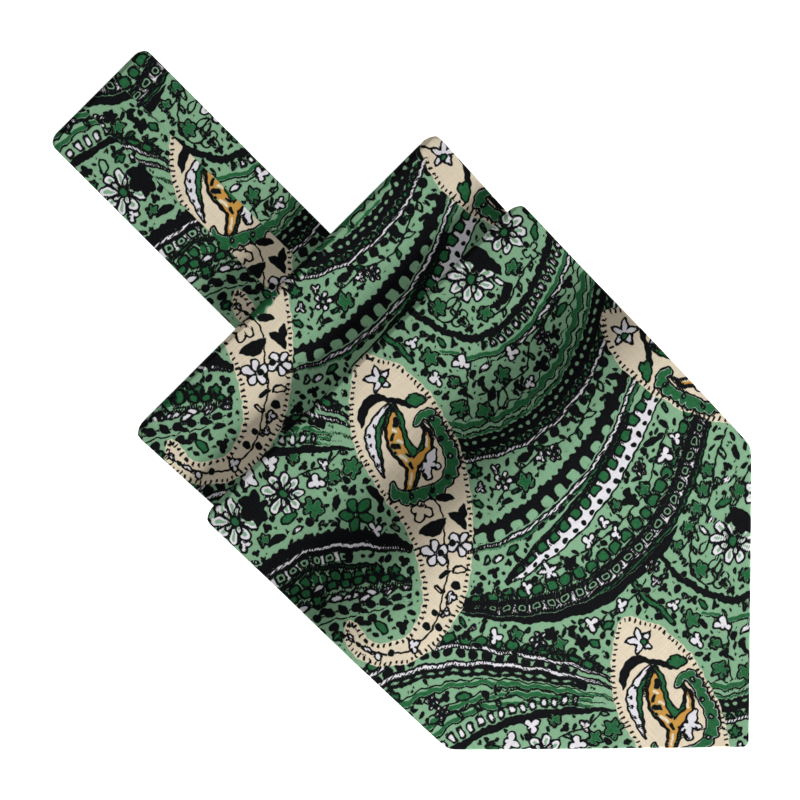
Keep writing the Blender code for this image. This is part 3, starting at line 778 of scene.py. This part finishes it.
FILLERS = (
    # kind, weight while large, weight while small
    ("green lobed", 5, 2), ("white trefoil", 2, 2), ("black trefoil", 4, 5), ("black leaf", 4, 9),
    ("ground leaf", 1, 2), ("white leaf", 1, 2), ("green oval", 2, 4), ("black disc", 1, 3),
)
FILLER_SIZES = (3.0, 2.5, 2.1, 1.7, 1.4, 1.1, 0.8)
FILLER_TRIES = 5600
FILLER_ROOM = 0.86               # bare ground that a filler needs, over its size
FILLER_SEED = 7


def placed(rows, origin, flip):
    """Move a motif's rows of s, x and more to its place, mirrored across the scarf where flip is -1."""
    return [(origin[0] + row[0], origin[1] + flip * row[1]) + tuple(row[2:]) for row in rows]


def draw_vine(canvas, rows, reach, spacing, inks):
    """A thin stem with leaves on alternate sides."""
    inks = inks.split()
    canvas.strokes("line", [[(s, x, VINE_WIDTH) for s, x in rows]], None)
    stem = Brush([(s, x, 0.0) for s, x in rows])
    for k in range(int(stem.along[-1] / spacing)):
        s, x, angle = stem.place(spacing * (k + 0.5))
        turn = angle + (50 if k % 2 else -50)
        s, x = s + reach * math.cos(math.radians(turn)), x + reach * math.sin(math.radians(turn))
        motif(canvas, inks[k % len(inks)] + " leaf", s, x, reach, turn)


def draw_teardrop(canvas, origin, flip):
    outline = Brush([row + (0.0,) for row in placed(TEARDROP, origin, flip)], step=2.5, closed=True)
    spacing, width, length, inset = TICK
    spacing = outline.along[-1] / round(outline.along[-1] / spacing)
    for place, s, x in canvas.tiles(outline.low, outline.high):
        _, across, along = outline.read(s, x)
        edge = across * flip
        canvas.fill(place, "cream", edge)
        apart = along - spacing * np.round(along / spacing)
        inward = np.abs(edge + inset + length / 2) - length / 2
        canvas.rule(place, np.maximum(np.abs(apart) - width / 2, inward))
    for ink, rim, many in TEARDROP_FORMS:
        canvas.strokes(ink, [placed(rows, origin, flip) for rows in many], rim)
    crescent = placed(CRESCENT, origin, flip)
    spine = Brush([(s, x, 0.0) for s, x, _ in crescent])
    scallops = [crescent]
    for along in np.arange(5.0, spine.along[-1] - 3.0, SCALLOP_PITCH):
        s, x, angle = spine.place(along)
        out = math.radians(angle + 90 * flip)
        s, x = s + 1.0 * math.cos(out), x + 1.0 * math.sin(out)
        scallops.append([(s, x, SCALLOP_RADIUS), (s + 0.02, x, SCALLOP_RADIUS)])
    canvas.strokes("white", [[(a, b, w + SCALLOP_RIM) for a, b, w in rows] for rows in scallops], 0)
    canvas.strokes("green", scallops, None)
    for along in np.arange(6.5, spine.along[-1] - 4.0, PEARL_PITCH):
        s, x, _ = spine.place(along)
        motif(canvas, "white disc", s, x, PEARL_RADIUS, 0)
    canvas.strokes("line", [[(s, x, TAIL_VINE_WIDTH) for s, x in placed(TAIL_VINE, origin, flip)]], None)
    for kind, s, x, radius, turn in TEARDROP_FLOWERS:
        motif(canvas, kind, origin[0] + s, origin[1] + flip * x, radius, turn, flip)


def fill_ground(canvas):
    """Scatter small leaves and flowers wherever the ground is still bare, the largest first."""
    random = np.random.default_rng(FILLER_SEED)
    for radius in FILLER_SIZES:
        weights = np.array([row[2 if radius < 2.0 else 1] for row in FILLERS], dtype=float)
        tries = int(FILLER_TRIES / radius ** 1.3)
        places = random.uniform((0, 1 - CANVAS_HALF), (REPEAT, CANVAS_HALF - 1), (tries, 2))
        picks = random.choice(len(FILLERS), tries, p=weights / weights.sum())
        turns = random.uniform(0, 360, tries)
        for (s, x), pick, turn in zip(places, picks, turns):
            column = int(s / GRID) % canvas.columns
            row = int((x + CANVAS_HALF) / GRID)
            if canvas.free[row, column] > FILLER_ROOM * radius + 0.2:
                kind = FILLERS[pick][0]
                motif(canvas, kind, s, x, 0.6 * radius if kind.endswith("disc") else radius, turn)


def draw_print():
    canvas = Canvas()
    for rows, courses in BANDS:
        draw_band(canvas, rows, courses)
    canvas.strokes("black", [HEAVY_ARC], None)
    for rows in STRIPS:
        canvas.strokes("green", [[(s, x, STRIP_HALF_WIDTH) for s, x in rows]], 0)
        strip = Brush([(s, x, 0.0) for s, x in rows])
        for k in range(int(strip.along[-1] / STRIP_PITCH)):
            s, x, _ = strip.place(STRIP_PITCH * (k + 0.5))
            motif(canvas, "black disc", s, x + (2.1 if k % 2 else -2.1), STRIP_DISC, 0)
    for row in MEDALLIONS:
        medallion_flower(canvas, *row)
    for row in VINES:
        draw_vine(canvas, *row)
    for row in MOTIFS:
        motif(canvas, *row)
    for row in DAISIES:
        daisy(canvas, *row)
    for origin, flip in TEARDROPS:
        draw_teardrop(canvas, origin, flip)
    fill_ground(canvas)
    return canvas


# Heights and outlines

def smooth_curve(table):
    """A smooth function through a table's rows that never overshoots them."""
    rows = np.array(sorted(table))
    ys, zs = rows[:, 0], rows[:, 1]
    runs = np.diff(ys)
    rises = np.diff(zs) / runs
    slopes = np.empty_like(ys)
    slopes[0], slopes[-1] = rises[0], rises[-1]
    before, after = rises[:-1], rises[1:]
    same_way = before * after > 0
    slopes[1:-1] = np.where(same_way, 2 * before * after / np.where(same_way, before + after, 1.0), 0.0)

    def read(y):
        y = np.clip(y, ys[0], ys[-1])
        i = np.clip(np.searchsorted(ys, y, side="right") - 1, 0, len(runs) - 1)
        run = runs[i]
        t = (y - ys[i]) / run
        start = (2 * t ** 3 - 3 * t ** 2 + 1) * zs[i] + (t ** 3 - 2 * t ** 2 + t) * run * slopes[i]
        return start + (3 * t ** 2 - 2 * t ** 3) * zs[i + 1] + (t ** 3 - t ** 2) * run * slopes[i + 1]

    return read


front_top = smooth_curve(FRONT_TOP)
back_top = smooth_curve(BACK_TOP)
back_under = smooth_curve(BACK_UNDER)


def eased_corner(inside, radius):
    depth = radius - np.clip(inside, 0.0, radius)
    return radius - np.sqrt(radius ** 2 - depth ** 2)


def band_half_width(y):
    return BAND_WIDTH / 2 - eased_corner(BAND_END_Y - y, CORNER_RADIUS)


def back_half_width(y):
    straight = (BACK_FOLD_WIDTH - BACK_TAPER * (BACK_FOLD_Y - y)) / 2
    return straight - eased_corner(BACK_FOLD_Y - y, CORNER_RADIUS)


def front_half_width(y):
    side = (FRONT_FOLD_WIDTH - FRONT_TAPER * (FRONT_FOLD_Y - y)) / 2
    side = side - eased_corner(FRONT_FOLD_Y - y, CORNER_RADIUS)
    centre_y = POINT_Y + POINT_RADIUS * math.sqrt(2)
    tip = np.sqrt(np.maximum(POINT_RADIUS ** 2 - (centre_y - y) ** 2, 0.01))
    edge = y - POINT_Y
    eased = (side + edge - np.sqrt((side - edge) ** 2 + SHOULDER_SOFTNESS ** 2)) / 2
    return np.where(y < centre_y - POINT_RADIUS / math.sqrt(2), tip, np.minimum(eased, edge))


def lower_face(top, wall, y):
    reach = 0.5
    rise = (top(y + reach) - top(y - reach)) / (2 * reach)
    return top(y) - wall * np.sqrt(1 + rise ** 2)


def stack_top(y):
    """Height of the hidden folds, just clear of whatever lies on them."""
    under_turn = back_under(y) - GAP
    under_back = lower_face(back_top, BLADE_WALL, y) - GAP
    under_front = lower_face(front_top, BLADE_WALL, y) - GAP
    on_front = np.where(y > BACK_HIDDEN_END_Y - 1.0, under_back, under_front)
    return np.where(y > BACK_UNDER[-1][0] - 1.0, under_turn, on_front)


def stack_half_width(y):
    blend = np.clip((FRONT_FOLD_Y - y) / 25.0 + 0.5, 0.0, 1.0)
    under_back = back_half_width(y)
    under_front = front_half_width(np.minimum(y, FRONT_FOLD_Y - CORNER_RADIUS))
    half = under_back + (under_front - under_back) * blend - STACK_INSET
    return half - eased_corner(FOLD_STACK_START_Y - y, STACK_CORNER)


# Cloth shells

def steps(start, end, longest):
    count = max(1, math.ceil(abs(end - start) / longest))
    return np.linspace(start, end, count + 1)


def folded_path(top, under, wall, fold_y, top_ys, under_ys):
    """Middle line of a cloth wall: along its top, round the fold at fold_y and back underneath.

    Rows are y, z, how far it is turned under, from 0 to 1.
    """
    radius = (top(top_ys[-1]) - under(under_ys[0]) - wall) / 2
    mid_y = fold_y - wall / 2 - radius
    mid_z = top(top_ys[-1]) - wall / 2 - radius
    turn = np.arange(TURN_STEPS + 1) / TURN_STEPS
    angle = math.pi / 2 - math.pi * turn
    over = np.stack([top_ys[:-1], top(top_ys[:-1]) - wall / 2, 0 * top_ys[:-1]], axis=1)
    round_it = np.stack([mid_y + radius * np.cos(angle), mid_z + radius * np.sin(angle), turn], axis=1)
    back = np.stack([under_ys[1:], under(under_ys[1:]) + wall / 2, 0 * under_ys[1:] + 1], axis=1)
    return np.concatenate([over, round_it, back])


def path_normals(path):
    ahead = np.concatenate([path[1:], path[-1:]])
    behind = np.concatenate([path[:1], path[:-1]])
    run, rise = (ahead - behind)[:, 0], (ahead - behind)[:, 1]
    length = np.hypot(run, rise)
    return np.stack([-rise / length, run / length], axis=1)


def shell_mesh(name, rings):
    """A closed shell of rings with equal counts, an array of ring, corner, xyz in millimetres."""
    count, around = rings.shape[:2]
    index = np.arange(count * around).reshape(count, around)
    nxt = np.roll(index, -1, axis=1)
    quads = np.stack([index[:-1], nxt[:-1], nxt[1:], index[1:]], axis=-1).reshape(-1, 4)
    caps = [index[0][::-1], index[-1]]
    data = bpy.data.meshes.new(name)
    data.vertices.add(count * around)
    data.vertices.foreach_set("co", (rings * MM).astype(np.float32).ravel())
    loops = np.concatenate([quads.ravel()] + caps)
    data.loops.add(len(loops))
    data.loops.foreach_set("vertex_index", loops.astype(np.int32))
    starts = np.concatenate([np.arange(len(quads)) * 4, [len(quads) * 4, len(quads) * 4 + around]])
    data.polygons.add(len(quads) + 2)
    data.polygons.foreach_set("loop_start", starts.astype(np.int32))
    data.update(calc_edges=True)
    data.validate()
    data.shade_smooth()
    piece = bpy.data.objects.new(name, data)
    bpy.context.scene.collection.objects.link(piece)
    return piece


EDGE_ANGLES = np.radians([60, 30, 0, -30, -60])


def print_rows(path, fold_y):
    """How far down the print each row lies: straight down from the fold on top, then back round it."""
    along = np.concatenate([[0], np.cumsum(np.hypot(*np.diff(path[:, :2], axis=0).T))])
    last = np.flatnonzero(path[:, 2] == 0)[-1]
    rows = fold_y - path[:, 0]
    rows[last:] = rows[last] - (along[last:] - along[last])
    return rows


def wall_rings(path, half, wall, columns, under_columns, fold_y, lift=None):
    """Sections across a cloth wall with round side edges, and every corner's place on the cloth."""
    normals = path_normals(path)
    down = print_rows(path, fold_y)
    inner = half - wall / 2
    rows = len(path)
    edge = wall / 2
    zeros = np.zeros(rows)

    def line(xs, offsets):
        return np.stack([xs, *(path[:, :2] + normals * offsets[:, None]).T], axis=-1)

    corners, across = [], []
    for share in columns:
        x = inner * share
        rise = zeros if lift is None else lift(x, path)
        corners.append(line(x, edge + rise))
        across.append(x)
    for angle in EDGE_ANGLES:
        corners.append(line(inner + edge * math.cos(angle), zeros + edge * math.sin(angle)))
        across.append(inner + edge * (math.pi / 2 - angle))
    for share in under_columns[::-1]:
        corners.append(line(inner * share, zeros - edge))
        across.append(np.sign(share + 1e-9) * (2 * inner + math.pi * edge) - inner * share)
    for angle in EDGE_ANGLES[::-1]:
        corners.append(line(-inner - edge * math.cos(angle), zeros + edge * math.sin(angle)))
        across.append(-inner - edge * (math.pi / 2 - angle))
    rings = np.stack(corners, axis=1)
    places = np.stack([np.broadcast_to(down[:, None], rings.shape[:2]), np.stack(across, axis=1)], axis=-1)
    return rings, places


UNDER_COLUMNS = np.linspace(-1.0, 1.0, 13)


def make_front_blade():
    tip_y = POINT_Y + POINT_RADIUS * (math.sqrt(2) - 1) + 0.03
    turn_y = FRONT_TOP[0][0]
    top_ys = np.concatenate([steps(tip_y, tip_y + 2.4, 0.3), steps(tip_y + 3.0, turn_y, FINE)])
    under_ys = steps(turn_y, FRONT_UNDER_END_Y, COARSE)
    path = folded_path(front_top, lambda y: back_top(y) + GAP, BLADE_WALL, FRONT_FOLD_Y, top_ys, under_ys)
    outer_y = path[:, 0] + path_normals(path)[:, 0] * BLADE_WALL / 2
    half = front_half_width(outer_y) - UNDER_PLY_INSET * path[:, 2]
    wall = np.minimum(BLADE_WALL, half)
    columns = np.linspace(-1.0, 1.0, int(FRONT_FOLD_WIDTH / FINE))
    rings, places = wall_rings(path, half, wall, columns, UNDER_COLUMNS, FRONT_FOLD_Y)
    return shell_mesh("front_blade_cloth", rings), places


def make_back_blade():
    turn_y, shown_y = BACK_TOP[0][0], 25.0
    top_ys = np.concatenate([steps(BACK_HIDDEN_END_Y, shown_y - 1.0, COARSE), steps(shown_y, turn_y, FINE)])
    under_ys = steps(turn_y, BACK_UNDER[-1][0], 2.0)
    path = folded_path(back_top, back_under, BLADE_WALL, BACK_FOLD_Y, top_ys, under_ys)
    outer_y = path[:, 0] + path_normals(path)[:, 0] * BLADE_WALL / 2
    half = back_half_width(outer_y) - UNDER_PLY_INSET * path[:, 2]
    columns = np.linspace(-1.0, 1.0, int(BACK_FOLD_WIDTH / FINE))
    rings, places = wall_rings(path, half, BLADE_WALL + 0 * half, columns, UNDER_COLUMNS, BACK_FOLD_Y)
    return shell_mesh("back_blade_cloth", rings), places + [BACK_BLADE_CUT, 0]


def pleat_lines(y):
    along = (BAND_END_Y - y) / (BAND_END_Y - BAND_INNER_Y)
    return [end_x + (inner_x - end_x) * along for end_x, inner_x in PLEAT_LINES]


def pleat_lift(x, path):
    """Height of the neck band's outer face: each pleat rises to an edge that covers the next."""
    lines = pleat_lines(path[:, 0])
    fade = np.clip(1.0 - 4 * path[:, 2], 0.0, 1.0)
    edges = [-BAND_WIDTH / 2 + 0 * x] + lines + [BAND_WIDTH / 2 + 0 * x]
    rise = 0 * x
    for low, high in reversed(list(zip(edges, edges[1:]))):
        inside = x <= high + PLEAT_STEP_WIDTH / 4
        rise = np.where(inside, PLEAT_RISE * fade * (high - np.maximum(x, low)) / (high - low), rise)
    return rise


def make_neck_band():
    top_z = 2 * BAND_WALL + BAND_GAP
    turn_y = BAND_END_Y - top_z / 2
    top_ys = steps(BAND_INNER_Y, turn_y, FINE)
    under_ys = steps(turn_y, BAND_INNER_Y, COARSE)
    path = folded_path(lambda y: top_z + 0 * y, lambda y: 0 * y, BAND_WALL, BAND_END_Y, top_ys, under_ys)
    outer_y = path[:, 0] + path_normals(path)[:, 0] * BAND_WALL / 2
    half = band_half_width(outer_y) - 0.5 * path[:, 2]
    inner = half - BAND_WALL / 2
    lines = pleat_lines(path[:, 0])
    step = PLEAT_STEP_WIDTH / 2
    stops = [-inner, lines[0] - step, lines[0] + step, lines[1] - step, lines[1] + step, inner]
    columns = []
    for number, (low, high) in enumerate(zip(stops, stops[1:])):
        pieces = 1 if number % 2 else max(2, int(PLEAT_WIDTH / (0.8 * FINE)))
        columns += [(low + (high - low) * k / pieces) / inner for k in range(pieces)]
    columns.append(1.0 + 0 * inner)
    wall = BAND_WALL + 0 * half
    rings, places = wall_rings(path, half, wall, columns, UNDER_COLUMNS, BAND_END_Y, pleat_lift)
    strip = (places[..., 1] > lines[0][:, None]) * 1 + (places[..., 1] > lines[1][:, None])
    return shell_mesh("neck_band_cloth", rings), places + np.array(STRIP_CUTS)[strip]


def make_fold_ply(number):
    """One hidden ply, which shows only as a rounded edge in the stack's sides."""
    share_low = 0.0 if number == 0 else PLY_EDGES[number - 1][0]
    share_high, left_inset, right_inset = PLY_EDGES[number]
    ys = np.concatenate([steps(*run) for run in STACK_RUNS])
    height = stack_top(ys)
    low = height * share_low + (0.0 if number == 0 else PLY_CLEARANCE)
    high = height * share_high - PLY_CLEARANCE
    middle, thick = (low + high) / 2, high - low
    half = stack_half_width(ys)
    shrink = np.minimum(1.0, half / 10.0)
    right = half - right_inset * shrink
    left = half - left_inset * shrink
    bulge = np.minimum(PLY_BULGE, thick / 2)
    centre = (right - left) / 2
    span = (right + left) / 2 - bulge
    shares = np.linspace(-1.0, 1.0, 9)
    angles = np.linspace(math.pi / 2, -math.pi / 2, 13)[1:-1]
    corners, across = [], []
    for share in shares:
        x = centre + span * share
        corners.append((x, high))
        across.append(x)
    for angle in angles:
        corners.append((right - bulge + bulge * math.cos(angle), middle + thick / 2 * math.sin(angle)))
        across.append(right - bulge + bulge * (math.pi / 2 - angle))
    for share in shares[::-1]:
        x = centre + span * share
        corners.append((x, low))
        across.append(np.sign(share + 1e-9) * 2 * half - x)
    for angle in angles[::-1]:
        corners.append((-left + bulge - bulge * math.cos(angle), middle + thick / 2 * math.sin(angle)))
        across.append(-left + bulge - bulge * (math.pi / 2 - angle))
    rings = np.stack([np.stack([x, ys, z], axis=-1) for x, z in corners], axis=1)
    down = FRONT_FOLD_Y - ys + PLY_CUT * number
    places = np.stack([np.broadcast_to(down[:, None], rings.shape[:2]), np.stack(across, axis=1)], axis=-1)
    return shell_mesh("fold_ply_%d" % (number + 1), rings), places


# Printed cotton

INK_COLOURS = (
    # ink, linear red, green, blue, in the order that they go over each other
    ("green", 0.009, 0.112, 0.034),
    ("white", 0.760, 0.740, 0.780),
    ("cream", 0.760, 0.660, 0.500),
    ("gold", 0.620, 0.300, 0.050),
    ("black", 0.0028, 0.0031, 0.0042),
)
GROUND_COLOUR = (0.235, 0.430, 0.262)
INK_SOFTNESS = 0.09
THREAD = 0.36
LINE_REACH = 1.84 * FINE         # corners further apart than this aren't on two sides of one line


def dye(piece, places, canvas):
    """Give a shell's points their inks, and each face's corners their distance to the nearest fine line."""
    s, x = places.reshape(-1, 2).T
    half = FRONT_FOLD_WIDTH / 2
    x = np.where(np.abs(x) > half, np.sign(x) * 2 * half - x, x)
    data = piece.data
    for name in INKS:
        ink = data.attributes.new("ink_" + name, "FLOAT", "POINT")
        ink.data.foreach_set("value", canvas.read(canvas.ink[name], s, x).astype(np.float32))
    cloth = data.attributes.new("cloth", "FLOAT_VECTOR", "POINT")
    cloth.data.foreach_set("vector", np.stack([s, x, 0 * s], axis=1).astype(np.float32).ravel())
    distance = canvas.read(canvas.line, s, x)
    across, down = np.gradient(canvas.line)
    slope = np.stack([canvas.read(down, s, x), canvas.read(across, s, x)], axis=1)
    corners = np.empty(len(data.loops), dtype=np.int32)
    data.loops.foreach_get("vertex_index", corners)
    quads = (len(data.polygons) - 2) * 4
    signed = distance[corners]
    faces = corners[:quads].reshape(-1, 4)
    furthest = faces[np.arange(len(faces)), np.argmax(distance[faces], axis=1)]
    same_side = (slope[faces] * slope[furthest][:, None]).sum(axis=2) >= 0
    same_side |= distance[faces] + distance[furthest][:, None] > LINE_REACH
    signed[:quads] *= np.where(same_side, 1.0, -1.0).ravel()
    line = data.attributes.new("fine_line", "FLOAT", "CORNER")
    line.data.foreach_set("value", signed.astype(np.float32))


class Nodes:
    """Short ways to add and join a material's nodes."""

    def __init__(self, tree):
        self.tree = tree

    def add(self, kind, inputs=(), **settings):
        node = self.tree.nodes.new(kind)
        for name, value in settings.items():
            setattr(node, name, value)
        for key, value in dict(inputs).items():
            if isinstance(value, bpy.types.NodeSocket):
                self.tree.links.new(value, node.inputs[key])
            else:
                node.inputs[key].default_value = value
        return node

    def attribute(self, name):
        return self.add("ShaderNodeAttribute", attribute_name=name)

    def math(self, operation, *values):
        return self.add("ShaderNodeMath", dict(enumerate(values)), operation=operation).outputs[0]

    def ramp(self, value, low, high, start=0.0, end=1.0):
        """A value's straight climb from start at low to end at high, held beyond them."""
        inputs = {"Value": value, "From Min": low, "From Max": high, "To Min": start, "To Max": end}
        return self.add("ShaderNodeMapRange", inputs, clamp=True).outputs[0]

    def noise(self, place, scale, detail=2.0, roughness=0.5):
        inputs = {"Vector": place, "Scale": scale, "Detail": detail, "Roughness": roughness}
        return self.add("ShaderNodeTexNoise", inputs).outputs["Fac"]

    def stretched(self, place, along, across):
        inputs = {"Vector": place, "Scale": (along, across, 1.0)}
        return self.add("ShaderNodeMapping", inputs).outputs["Vector"]

    def mix(self, share, under, over, blend="MIX"):
        node = self.add("ShaderNodeMix", data_type="RGBA", blend_type=blend)
        for key, value in ((0, share), (6, under), (7, over)):
            if isinstance(value, bpy.types.NodeSocket):
                self.tree.links.new(value, node.inputs[key])
            else:
                node.inputs[key].default_value = value
        return node.outputs[2]


def printed_cotton():
    """Plain-woven cotton, screen printed: inks on a pale green ground, with the weave showing through."""
    material = bpy.data.materials.new("printed_cotton")
    material.use_nodes = True
    nodes = Nodes(material.node_tree)
    shader = material.node_tree.nodes["Principled BSDF"]
    cloth = nodes.attribute("cloth").outputs["Vector"]
    parts = nodes.add("ShaderNodeSeparateXYZ", {"Vector": cloth})

    # The weave: threads both ways that pass over and under each other, each a little uneven
    warp_slub = nodes.noise(nodes.stretched(cloth, 0.12, 2.6), 1.0)
    weft_slub = nodes.noise(nodes.stretched(cloth, 2.6, 0.12), 1.0)
    warp = nodes.math("SINE", nodes.math("MULTIPLY", parts.outputs["Y"], math.pi / THREAD))
    weft = nodes.math("SINE", nodes.math("MULTIPLY", parts.outputs["X"], math.pi / THREAD))
    weave = nodes.math("MULTIPLY", warp, weft)
    slub = nodes.math("ADD", warp_slub, weft_slub)

    # The inks, whose edges creep along the threads
    creep = nodes.noise(cloth, 1.6, 2.0, 0.7)
    creep = nodes.ramp(creep, 0.3, 0.7, -0.07, 0.07)
    coverage = nodes.noise(cloth, 0.9, 3.0, 0.6)
    colour = nodes.mix(nodes.ramp(coverage, 0.3, 0.7), tuple(0.95 * c for c in GROUND_COLOUR) + (1,),
                       tuple(1.04 * c for c in GROUND_COLOUR) + (1,))
    black = None
    for name, *tone in INK_COLOURS:
        edge = nodes.math("ADD", nodes.attribute("ink_" + name).outputs["Fac"], creep)
        if name == "black":
            line = nodes.math("ABSOLUTE", nodes.attribute("fine_line").outputs["Fac"])
            line = nodes.math("ADD", nodes.math("SUBTRACT", line, LINE / 2), creep)
            edge = nodes.math("MINIMUM", edge, line)
        share = nodes.ramp(edge, INK_SOFTNESS, -INK_SOFTNESS)
        thin = nodes.ramp(coverage, 0.35, 0.65, 0.90, 1.0)
        share = nodes.math("MULTIPLY", share, thin if name in ("green", "gold") else 1.0)
        colour = nodes.mix(share, colour, tuple(tone) + (1,))
        black = share

    # Painted shade in the hollows between the crossing threads, the yarn's own lighter and darker slubs
    # over the whole print, and the pale flecks where black ink misses a thread
    flecks = nodes.noise(cloth, 2.3, 1.0)
    flecks = nodes.math("MULTIPLY", nodes.ramp(flecks, 0.62, 0.78), nodes.math("MULTIPLY", black, 0.10))
    colour = nodes.mix(flecks, colour, (0.16, 0.20, 0.20, 1))
    # The weave term darkens the colour as painted shade between the threads; the slub term is the yarn's
    # own uneven tone
    thread_shade_and_yarn_tone = nodes.math("ADD", nodes.math("MULTIPLY", weave, 0.07), nodes.ramp(slub, 0.7, 1.3, 0.90, 1.10))
    thread_shade_and_yarn_tone = nodes.add("ShaderNodeCombineColor", {"Red": thread_shade_and_yarn_tone, "Green": thread_shade_and_yarn_tone, "Blue": thread_shade_and_yarn_tone}).outputs[0]
    colour = nodes.mix(1.0, colour, thread_shade_and_yarn_tone, "MULTIPLY")
    material.node_tree.links.new(colour, shader.inputs["Base Color"])

    shader.inputs["Specular IOR Level"].default_value = 0.07
    shader.inputs["Sheen Weight"].default_value = 0.02
    shader.inputs["Sheen Roughness"].default_value = 0.5
    smoother = nodes.math("MULTIPLY", black, -0.08)
    roughness = nodes.math("ADD", nodes.ramp(slub, 0.7, 1.3, 0.80, 0.92), smoother)
    material.node_tree.links.new(roughness, shader.inputs["Roughness"])
    height = nodes.math("ADD", weave, nodes.math("MULTIPLY", slub, 0.6))
    bump = nodes.add("ShaderNodeBump", {"Strength": 0.35, "Distance": 0.00006, "Height": height})
    material.node_tree.links.new(bump.outputs["Normal"], shader.inputs["Normal"])
    return material


def area_light(name, size, energy, place, aim):
    """A soft box at a place, turned to shine at a point."""
    lamp = bpy.data.lights.new(name, "AREA")
    lamp.shape = "RECTANGLE"
    lamp.size, lamp.size_y = size
    lamp.energy = energy
    light = bpy.data.objects.new(name, lamp)
    light.location = place
    light.rotation_euler = (Vector(aim) - Vector(place)).to_track_quat("-Z", "Y").to_euler()
    bpy.context.scene.collection.objects.link(light)


def add_wall(name, corners, colour, glow=0.0):
    """A plain board of the studio, from its four corners."""
    board = bpy.data.meshes.new(name)
    board.from_pydata(corners, [], [(0, 1, 2, 3)])
    paint = bpy.data.materials.new(name + "_paint")
    paint.use_nodes = True
    shader = paint.node_tree.nodes["Principled BSDF"]
    shader.inputs["Base Color"].default_value = (colour, colour, colour, 1)
    shader.inputs["Roughness"].default_value = 0.9
    shader.inputs["Emission Color"].default_value = (1, 1, 1, 1)
    shader.inputs["Emission Strength"].default_value = glow
    board.materials.append(paint)
    wall = bpy.data.objects.new(name, board)
    bpy.context.scene.collection.objects.link(wall)
    return wall


def add_studio():
    """A white table lit a little from within, a low wide light beyond the point, one above the folds."""
    reach, drop, flag_tone = 3.0, -0.0002, 0.02
    add_wall("floor", [(-reach, -reach, drop), (reach, -reach, drop), (reach, reach, drop),
                       (-reach, reach, drop)], FLOOR_WHITE, FLOOR_GLOW)
    side = FLAG_WIDTH / 2
    flag = add_wall("flag", [(-side, FLAG_Y, 0), (side, FLAG_Y, 0), (side, FLAG_Y, FLAG_HEIGHT),
                             (-side, FLAG_Y, FLAG_HEIGHT)], flag_tone)
    flag.visible_camera = False
    rise = math.radians(KEY_RISE)
    area_light("key", (KEY_WIDTH, KEY_HEIGHT), KEY_POWER,
               (0.0, -KEY_DISTANCE * math.cos(rise), KEY_DISTANCE * math.sin(rise)), (0.0, 0.0, 0.01))
    area_light("overhead", (0.3, 0.2), OVERHEAD_POWER, (0.0, 0.08, 0.30), (0.0, 0.06, 0.0))
    world = bpy.data.worlds.new("studio")
    world.use_nodes = True
    world.node_tree.nodes["Background"].inputs["Color"].default_value = (1, 1, 1, 1)
    world.node_tree.nodes["Background"].inputs["Strength"].default_value = SKY
    bpy.context.scene.world = world
    bpy.context.scene.view_settings.view_transform = "Standard"


def add_camera():
    """Straight above the scarf, turned 45 degrees, as far off as a long lens is."""
    lens, sensor = 180.0, 36.0
    frame_width = 276.5
    middle_x, middle_y, cloth_z = -0.41, 10.09, 8.0
    distance = frame_width * lens / sensor
    data = bpy.data.cameras.new("camera")
    data.lens = lens
    data.sensor_width = sensor
    camera = bpy.data.objects.new("camera", data)
    camera.location = (middle_x * MM, middle_y * MM, (cloth_z + distance) * MM)
    camera.rotation_euler = (0, 0, math.radians(-45))
    bpy.context.scene.collection.objects.link(camera)
    bpy.context.scene.camera = camera


add_camera()
add_studio()
cotton = printed_cotton()
canvas = draw_print()

front, front_places = make_front_blade()
back, back_places = make_back_blade()
band, band_places = make_neck_band()
plies = [make_fold_ply(number) for number in range(len(PLY_EDGES))]

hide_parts("front_blade")
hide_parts("back_blade")
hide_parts("neck_band")
for ply, ply_places in plies:
    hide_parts("hidden_folds")
for piece, places in [(front, front_places), (back, back_places), (band, band_places)] + plies:
    dye(piece, places, canvas)
    piece.data.materials.append(cotton)
    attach(piece, "root")
